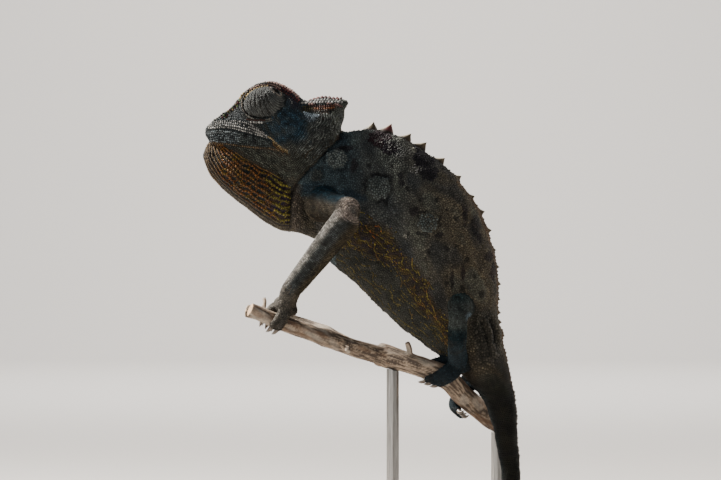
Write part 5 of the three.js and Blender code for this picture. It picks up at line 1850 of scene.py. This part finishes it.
def eyeball(side):
    """The eyeball looks out of its turret through a hole no wider than its pupil."""
    centre = eye_centre(side) + unit(GAZE[side]) * EYE_FORWARD
    bpy.ops.object.select_all(action="DESELECT")
    bpy.ops.mesh.primitive_uv_sphere_add(segments=48, ring_count=32, radius=(EYEBALL - 0.06) * MM,
                                         location=(0, 0, 0))
    ball = bpy.context.active_object
    ball.name = ball.data.name = f"eyeball_{side_names[side]}"
    bpy.ops.object.mode_set(mode="EDIT")
    bpy.ops.mesh.select_all(action="SELECT")
    bpy.ops.transform.translate(value=tuple(centre * MM))
    bpy.ops.object.mode_set(mode="OBJECT")
    bpy.ops.object.shade_smooth()
    ball.data.uv_layers.remove(ball.data.uv_layers[0])
    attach(ball, "root")
    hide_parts(f"eye_{side_names[side]}")

    made, tree, shader = finish(f"wet_eye_{side_names[side]}")
    where = tree.nodes.new("ShaderNodeTexCoord")
    away = add_node(tree, "ShaderNodeVectorMath")
    away.operation = "DISTANCE"
    tree.links.new(where.outputs["Object"], away.inputs[0])
    away.inputs[1].default_value = tuple((centre + unit(GAZE[side]) * EYEBALL) * MM)
    spread = add_node(tree, "ShaderNodeMapRange")
    spread.inputs["From Max"].default_value = 0.004
    tree.links.new(away.outputs["Value"], spread.inputs["Value"])
    rings = ramp(tree, spread.outputs["Result"], [
        (0.0, (0.002, 0.002, 0.002)), (0.13, (0.003, 0.002, 0.002)), (0.155, (0.22, 0.12, 0.03)),
        (0.2, (0.14, 0.065, 0.018)), (0.3, (0.04, 0.024, 0.01)), (0.5, (0.02, 0.015, 0.01))])
    coloured(tree, rings, shader)
    dial(shader, Roughness=0.12, Coat_Weight=1, Coat_Roughness=0.03)
    ball.data.materials.append(made)


for side in SIDES:
    eyeball(side)

thorns.data.materials.append(scales_finish)
claw_horn, tree, shader = finish("claw_horn")
streaks = object_noise(tree, 900, 3)
tints = ramp(tree, streaks.outputs["Fac"],
             [(0.25, (0.035, 0.026, 0.02)), (0.7, (0.13, 0.1, 0.075))])
coloured(tree, tints, shader)
dial(shader, Roughness=0.34)
bumped(tree, streaks, 0.3, 0.04, shader)
for obj in claw_pieces:
    obj.data.materials.append(claw_horn)

# ---------------------------------------------------------------- branch

STUBS = [("stem", 0.2, 200, 5.5, 1.0), ("stem", 0.82, 150, 4.5, 0.9), (LEFT, 0.34, 80, 6, 0.95),
         (LEFT, 0.62, 250, 4, 0.8), (RIGHT, 0.42, 95, 5, 0.9), (RIGHT, 0.9, 210, 3.6, 0.7)]


def branch_length(curve, radii, knots, inset):
    """Rings of a length of branch with cut ends and swellings at its knots."""
    points = curve_through(curve, 150)
    share = np.linspace(0, 1, 150)
    radius = radii[0] + (radii[1] - radii[0]) * share - inset
    for at, wide, high in knots:
        radius = radius + high * np.exp(-(((share - at) / wide) ** 2))
    rings = tube_rings(points, (1, 1), 40, (False, False))
    return points[:, None] + (rings - points[:, None]) * radius[:, None, None]


def twig(curve, share, degrees, reach, thick):
    """A broken-off side twig."""
    points = curve_through(curve, 150)
    tangent, across, up = frames_along(points)
    i = int(share * 149)
    way = across[i] * math.cos(math.radians(degrees)) + up[i] * math.sin(math.radians(degrees))
    line = [points[i], points[i] + way * (2.5 + reach * 0.45) + tangent[i] * reach * 0.1,
            points[i] + way * (2.3 + reach) + tangent[i] * reach * 0.35]
    return tube_rings(curve_through(line, 40), (thick * 1.5, thick * 1.1, thick), 16, (True, False))


def make_branch():
    stem_knots = [(0.12, 0.05, 0.35), (0.62, 0.05, 0.3), (0.97, 0.09, 0.5)]
    lofts = [branch_length(STEM, STEM_RADIUS, stem_knots, 0.12)]
    for side in SIDES:
        lofts.append(branch_length(PRONGS[side], PRONG_RADIUS, [(0.45, 0.05, 0.3)], 0.1))
    for which, *rest in STUBS:
        lofts.append(twig(STEM if which == "stem" else PRONGS[which], *rest))
    branch = loft_piece("branch", lofts)
    voxel_wrap(branch, 0.34)
    at = read_points(branch.data) / MM
    links = read_edges(branch.data)
    at = melted(at, links, 0.5, 3)
    write_points(branch, at)
    out = read_points(branch.data, "normal")
    cores = [curve_through(c, 300) for c in (STEM, PRONGS[LEFT], PRONGS[RIGHT])]
    frames = [frames_along(c) for c in cores]
    near = nearest_of(tree_of(np.concatenate(cores)), at)
    centre = np.concatenate(cores)[near]
    tangent, across, up = (np.concatenate([f[k] for f in frames])[near] for k in range(3))
    away = at - centre
    turn = np.arctan2((away * up).sum(1), (away * across).sum(1))
    far = near % 300 * 0.19 + near // 300 * 90.0
    strips = np.stack([np.cos(turn) * 3.2, np.sin(turn) * 3.2, far * 0.16], 1)
    ridged = 1 - np.abs(wobble(strips, 1.1, 61))
    flakes = wobble(strips, 2.6, 62)
    cut = np.abs((out * tangent).sum(1)) > 0.75
    ends = cut & ((near % 300 < 6) | (near % 300 > 293))
    depth = np.where(ends, 0, 0.17 * ridged + 0.07 * flakes - 0.17)
    rings = np.sin(length(away) * 9 + 0.5 * wobble(at, 1.5, 63))
    depth = depth + np.where(ends, 0.04 * rings, 0)
    at = at + out * depth[:, None]
    write_points(branch, at)
    c = blend(tone(70, 60, 52), tone(146, 130, 112), step_up(ridged, 0.35, 0.95))
    c = blend(c, tone(160, 152, 140), 0.5 * step_up(wobble(at, 5, 64), 0.3, 0.9))
    c = blend(c, tone(98, 74, 55), 0.5 * step_up(flakes, 0.2, 0.9))
    wood = blend(tone(196, 168, 132), tone(150, 116, 82), step_up(rings, 0, 0.8))
    c = np.where(ends[:, None], wood, c)
    paint_points(branch, np.clip(c, 0, 1))
    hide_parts("perch_stem", "perch_prong_left", "perch_prong_right")

    made, tree, shader = finish("dry_bark")
    paint = add_node(tree, "ShaderNodeVertexColor", Layer_Name="coat")
    fleck = object_noise(tree, 900, 6, 0.65)
    tints = ramp(tree, fleck.outputs["Fac"], [(0.3, (0.62, 0.6, 0.58)), (0.7, (1.25, 1.2, 1.15))])
    multiplied(tree, paint, tints, shader)
    dial(shader, Roughness=0.86)
    bumped(tree, fleck, 0.6, 0.12, shader)
    branch.data.materials.append(made)


make_branch()

# ---------------------------------------------------------------- stand


def pick(obj, kind, wanted):
    """Selects the edges or faces of a piece in edit mode that are wanted."""
    bpy.ops.mesh.select_mode(type=kind)
    bpy.ops.mesh.select_all(action="DESELECT")
    shape = bmesh.from_edit_mesh(obj.data)
    for item in shape.edges if kind == "EDGE" else shape.faces:
        if wanted(item):
            item.select = True
    bmesh.update_edit_mesh(obj.data)


def finish_stand_piece(obj, degrees):
    bpy.ops.object.shade_smooth_by_angle(angle=math.radians(degrees))
    while obj.data.uv_layers:
        obj.data.uv_layers.remove(obj.data.uv_layers[0])
    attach(obj, "root")


def make_base():
    """A hardwood board with rounded corners, a moulded rim and a fine line cut round its top."""
    low, high = (np.array(c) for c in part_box("stand_base"))
    size = high - low
    bpy.ops.object.select_all(action="DESELECT")
    bpy.ops.mesh.primitive_cube_add(size=1, location=(0, 0, 0))
    base = bpy.context.active_object
    base.name = base.data.name = "base_board"
    bpy.ops.object.mode_set(mode="EDIT")
    bpy.ops.transform.resize(value=tuple(size))
    bpy.ops.transform.translate(value=tuple((low + high) / 2))

    def upright(edge):
        a, b = edge.verts
        return abs(a.co.z - b.co.z) > size[2] * 0.5

    pick(base, "EDGE", upright)
    bpy.ops.mesh.bevel(offset=16 * MM, segments=12, profile=0.5)
    for height, offset, profile in ((high[2], 1.5, 0.32), (low[2], 0.6, 0.5)):
        pick(base, "EDGE", lambda edge: all(abs(v.co.z - height) < 1e-5 for v in edge.verts)
             and any(abs(f.normal.z) < 0.5 for f in edge.link_faces))
        bpy.ops.mesh.bevel(offset=offset * MM, segments=4, profile=profile)
    faces = bmesh.from_edit_mesh(base.data).faces
    largest = max(f.calc_area() for f in faces if f.normal.z > 0.99)
    pick(base, "FACE", lambda f: f.normal.z > 0.99 and f.calc_area() == largest)
    for thickness, depth in ((4.2, 0), (0.25, -0.45), (0.5, 0), (0.25, 0.45)):
        bpy.ops.mesh.inset(thickness=thickness * MM, depth=depth * MM)
    bpy.ops.object.mode_set(mode="OBJECT")
    finish_stand_piece(base, 32)
    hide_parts("stand_base")

    made, tree, shader = finish("dark_stained_hardwood")
    grain_noise = object_noise(tree, 90, 6, 0.6, (0.35, 6, 6))
    figure = object_noise(tree, 26, 3, 0.5, (0.5, 3.2, 3.2))
    tints = ramp(tree, grain_noise.outputs["Fac"], [
        (0.32, (0.018, 0.0095, 0.005)), (0.5, (0.05, 0.026, 0.013)), (0.68, (0.092, 0.049, 0.025))])
    broad = ramp(tree, figure.outputs["Fac"], [(0.3, (0.72, 0.7, 0.68)), (0.7, (1.2, 1.15, 1.1))])
    multiplied(tree, tints, broad, shader)
    dial(shader, Roughness=0.36, Coat_Weight=0.25, Coat_Roughness=0.2)
    bumped(tree, grain_noise, 0.25, 0.1, shader)
    base.data.materials.append(made)
    return high[2]


def make_collar(name, x, y, height):
    """A turned steel collar where a rod enters the base."""
    bpy.ops.object.select_all(action="DESELECT")
    bpy.ops.mesh.primitive_cylinder_add(vertices=48, radius=4.2 * MM, depth=2 * MM,
                                        location=(0, 0, 0))
    collar = bpy.context.active_object
    collar.name = collar.data.name = name
    bpy.ops.object.mode_set(mode="EDIT")
    bpy.ops.transform.translate(value=(x, y, height + 1 * MM))
    pick(collar, "FACE", lambda f: f.normal.z > 0.9)
    bpy.ops.mesh.inset(thickness=1.4 * MM, depth=0.5 * MM)
    bpy.ops.mesh.inset(thickness=0.5 * MM, depth=0)
    bpy.ops.object.mode_set(mode="OBJECT")
    bevel = collar.modifiers.new("soft_edges", "BEVEL")
    bevel.width, bevel.segments, bevel.limit_method = 0.3 * MM, 3, "ANGLE"
    bpy.ops.object.modifier_apply(modifier="soft_edges")
    finish_stand_piece(collar, 35)
    return collar


board_top = make_base()
steel, tree, shader = finish("satin_steel")
drawn = object_noise(tree, 420, 4, 0.6, (6, 6, 0.25))
tints = ramp(tree, drawn.outputs["Fac"], [(0.3, (0.2, 0.19, 0.18)), (0.7, (0.4, 0.39, 0.37))])
coloured(tree, tints, shader)
dial(shader, Metallic=1, Roughness=0.33)
bumped(tree, drawn, 0.15, 0.05, shader)
for rod in ("stand_rod_front", "stand_rod_rear"):
    obj = bpy.data.objects[rod]
    obj.data.materials.clear()
    obj.data.materials.append(steel)
    low, high = (np.array(c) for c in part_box(rod))
    collar = make_collar(rod.replace("stand_rod", "collar"), *((low + high) / 2)[:2], board_top)
    collar.data.materials.append(steel)

# ---------------------------------------------------------------- studio


FLOOR = -0.0004  # just under the base, in metres


def soft_light(name, at, aim, size, watts, tint=(1, 1, 1)):
    lamp = bpy.data.lights.new(name, "AREA")
    lamp.shape = "DISK"
    lamp.size = size
    lamp.energy = watts
    lamp.color = tint
    obj = bpy.data.objects.new(name, lamp)
    bpy.context.scene.collection.objects.link(obj)
    obj.location = at
    obj.rotation_euler = (Vector(aim) - Vector(at)).to_track_quat("-Z", "Y").to_euler()


def studio():
    bpy.ops.object.select_all(action="DESELECT")
    bpy.ops.mesh.primitive_plane_add(size=1, location=(0, 0, 0))
    floor = bpy.context.active_object
    floor.name = "studio_floor"
    sheet = bmesh.new()
    bend = 0.5
    profile = [(-3, FLOOR), (2, FLOOR)]
    profile += [(2 + bend * math.sin(a), bend + FLOOR - bend * math.cos(a))
                for a in np.linspace(0.1, math.pi / 2, 14)]
    profile += [(2 + bend, 3)]
    rows = [[sheet.verts.new((px, py, pz)) for px in (-3.5, 3.5)] for py, pz in profile]
    for a, b in zip(rows[:-1], rows[1:]):
        sheet.faces.new((a[0], a[1], b[1], b[0]))
    sheet.to_mesh(floor.data)
    sheet.free()
    for face in floor.data.polygons:
        face.use_smooth = True
    paper, _, shader = finish("pale_studio_paper")
    dial(shader, Base_Color=(0.62, 0.59, 0.56, 1), Roughness=0.9)
    floor.data.materials.clear()
    floor.data.materials.append(paper)

    world = bpy.data.worlds.new("soft_room")
    bpy.context.scene.world = world
    world.use_nodes = True
    sky = world.node_tree.nodes["Background"]
    dial(sky, Color=(0.86, 0.93, 1, 1), Strength=0.3)
    middle = (0, 0, 0.11)
    soft_light("key_light", (-0.42, 0.14, 0.6), middle, 0.12, 24, (1, 0.96, 0.9))
    soft_light("front_fill", (-0.55, -0.85, 0.45), middle, 0.7, 3.2, (1, 0.99, 0.97))
    soft_light("paper_light", (0, 1.3, 1.1), (0, 2.4, 0.25), 1.2, 40, (1, 0.98, 0.95))
    soft_light("rear_rim", (0.6, 0.45, 0.45), middle, 0.35, 5, (1, 0.93, 0.85))


studio()

lens = bpy.data.cameras.new("camera")
lens.lens = 144.96
lens.sensor_width = 36
lens.clip_start, lens.clip_end = 0.05, 20
camera = bpy.data.objects.new("camera", lens)
bpy.context.scene.collection.objects.link(camera)
camera.location = (-0.465 * MM, -0.9, 119.66 * MM)
camera.rotation_euler = (math.pi / 2, 0, 0)
bpy.context.scene.camera = camera
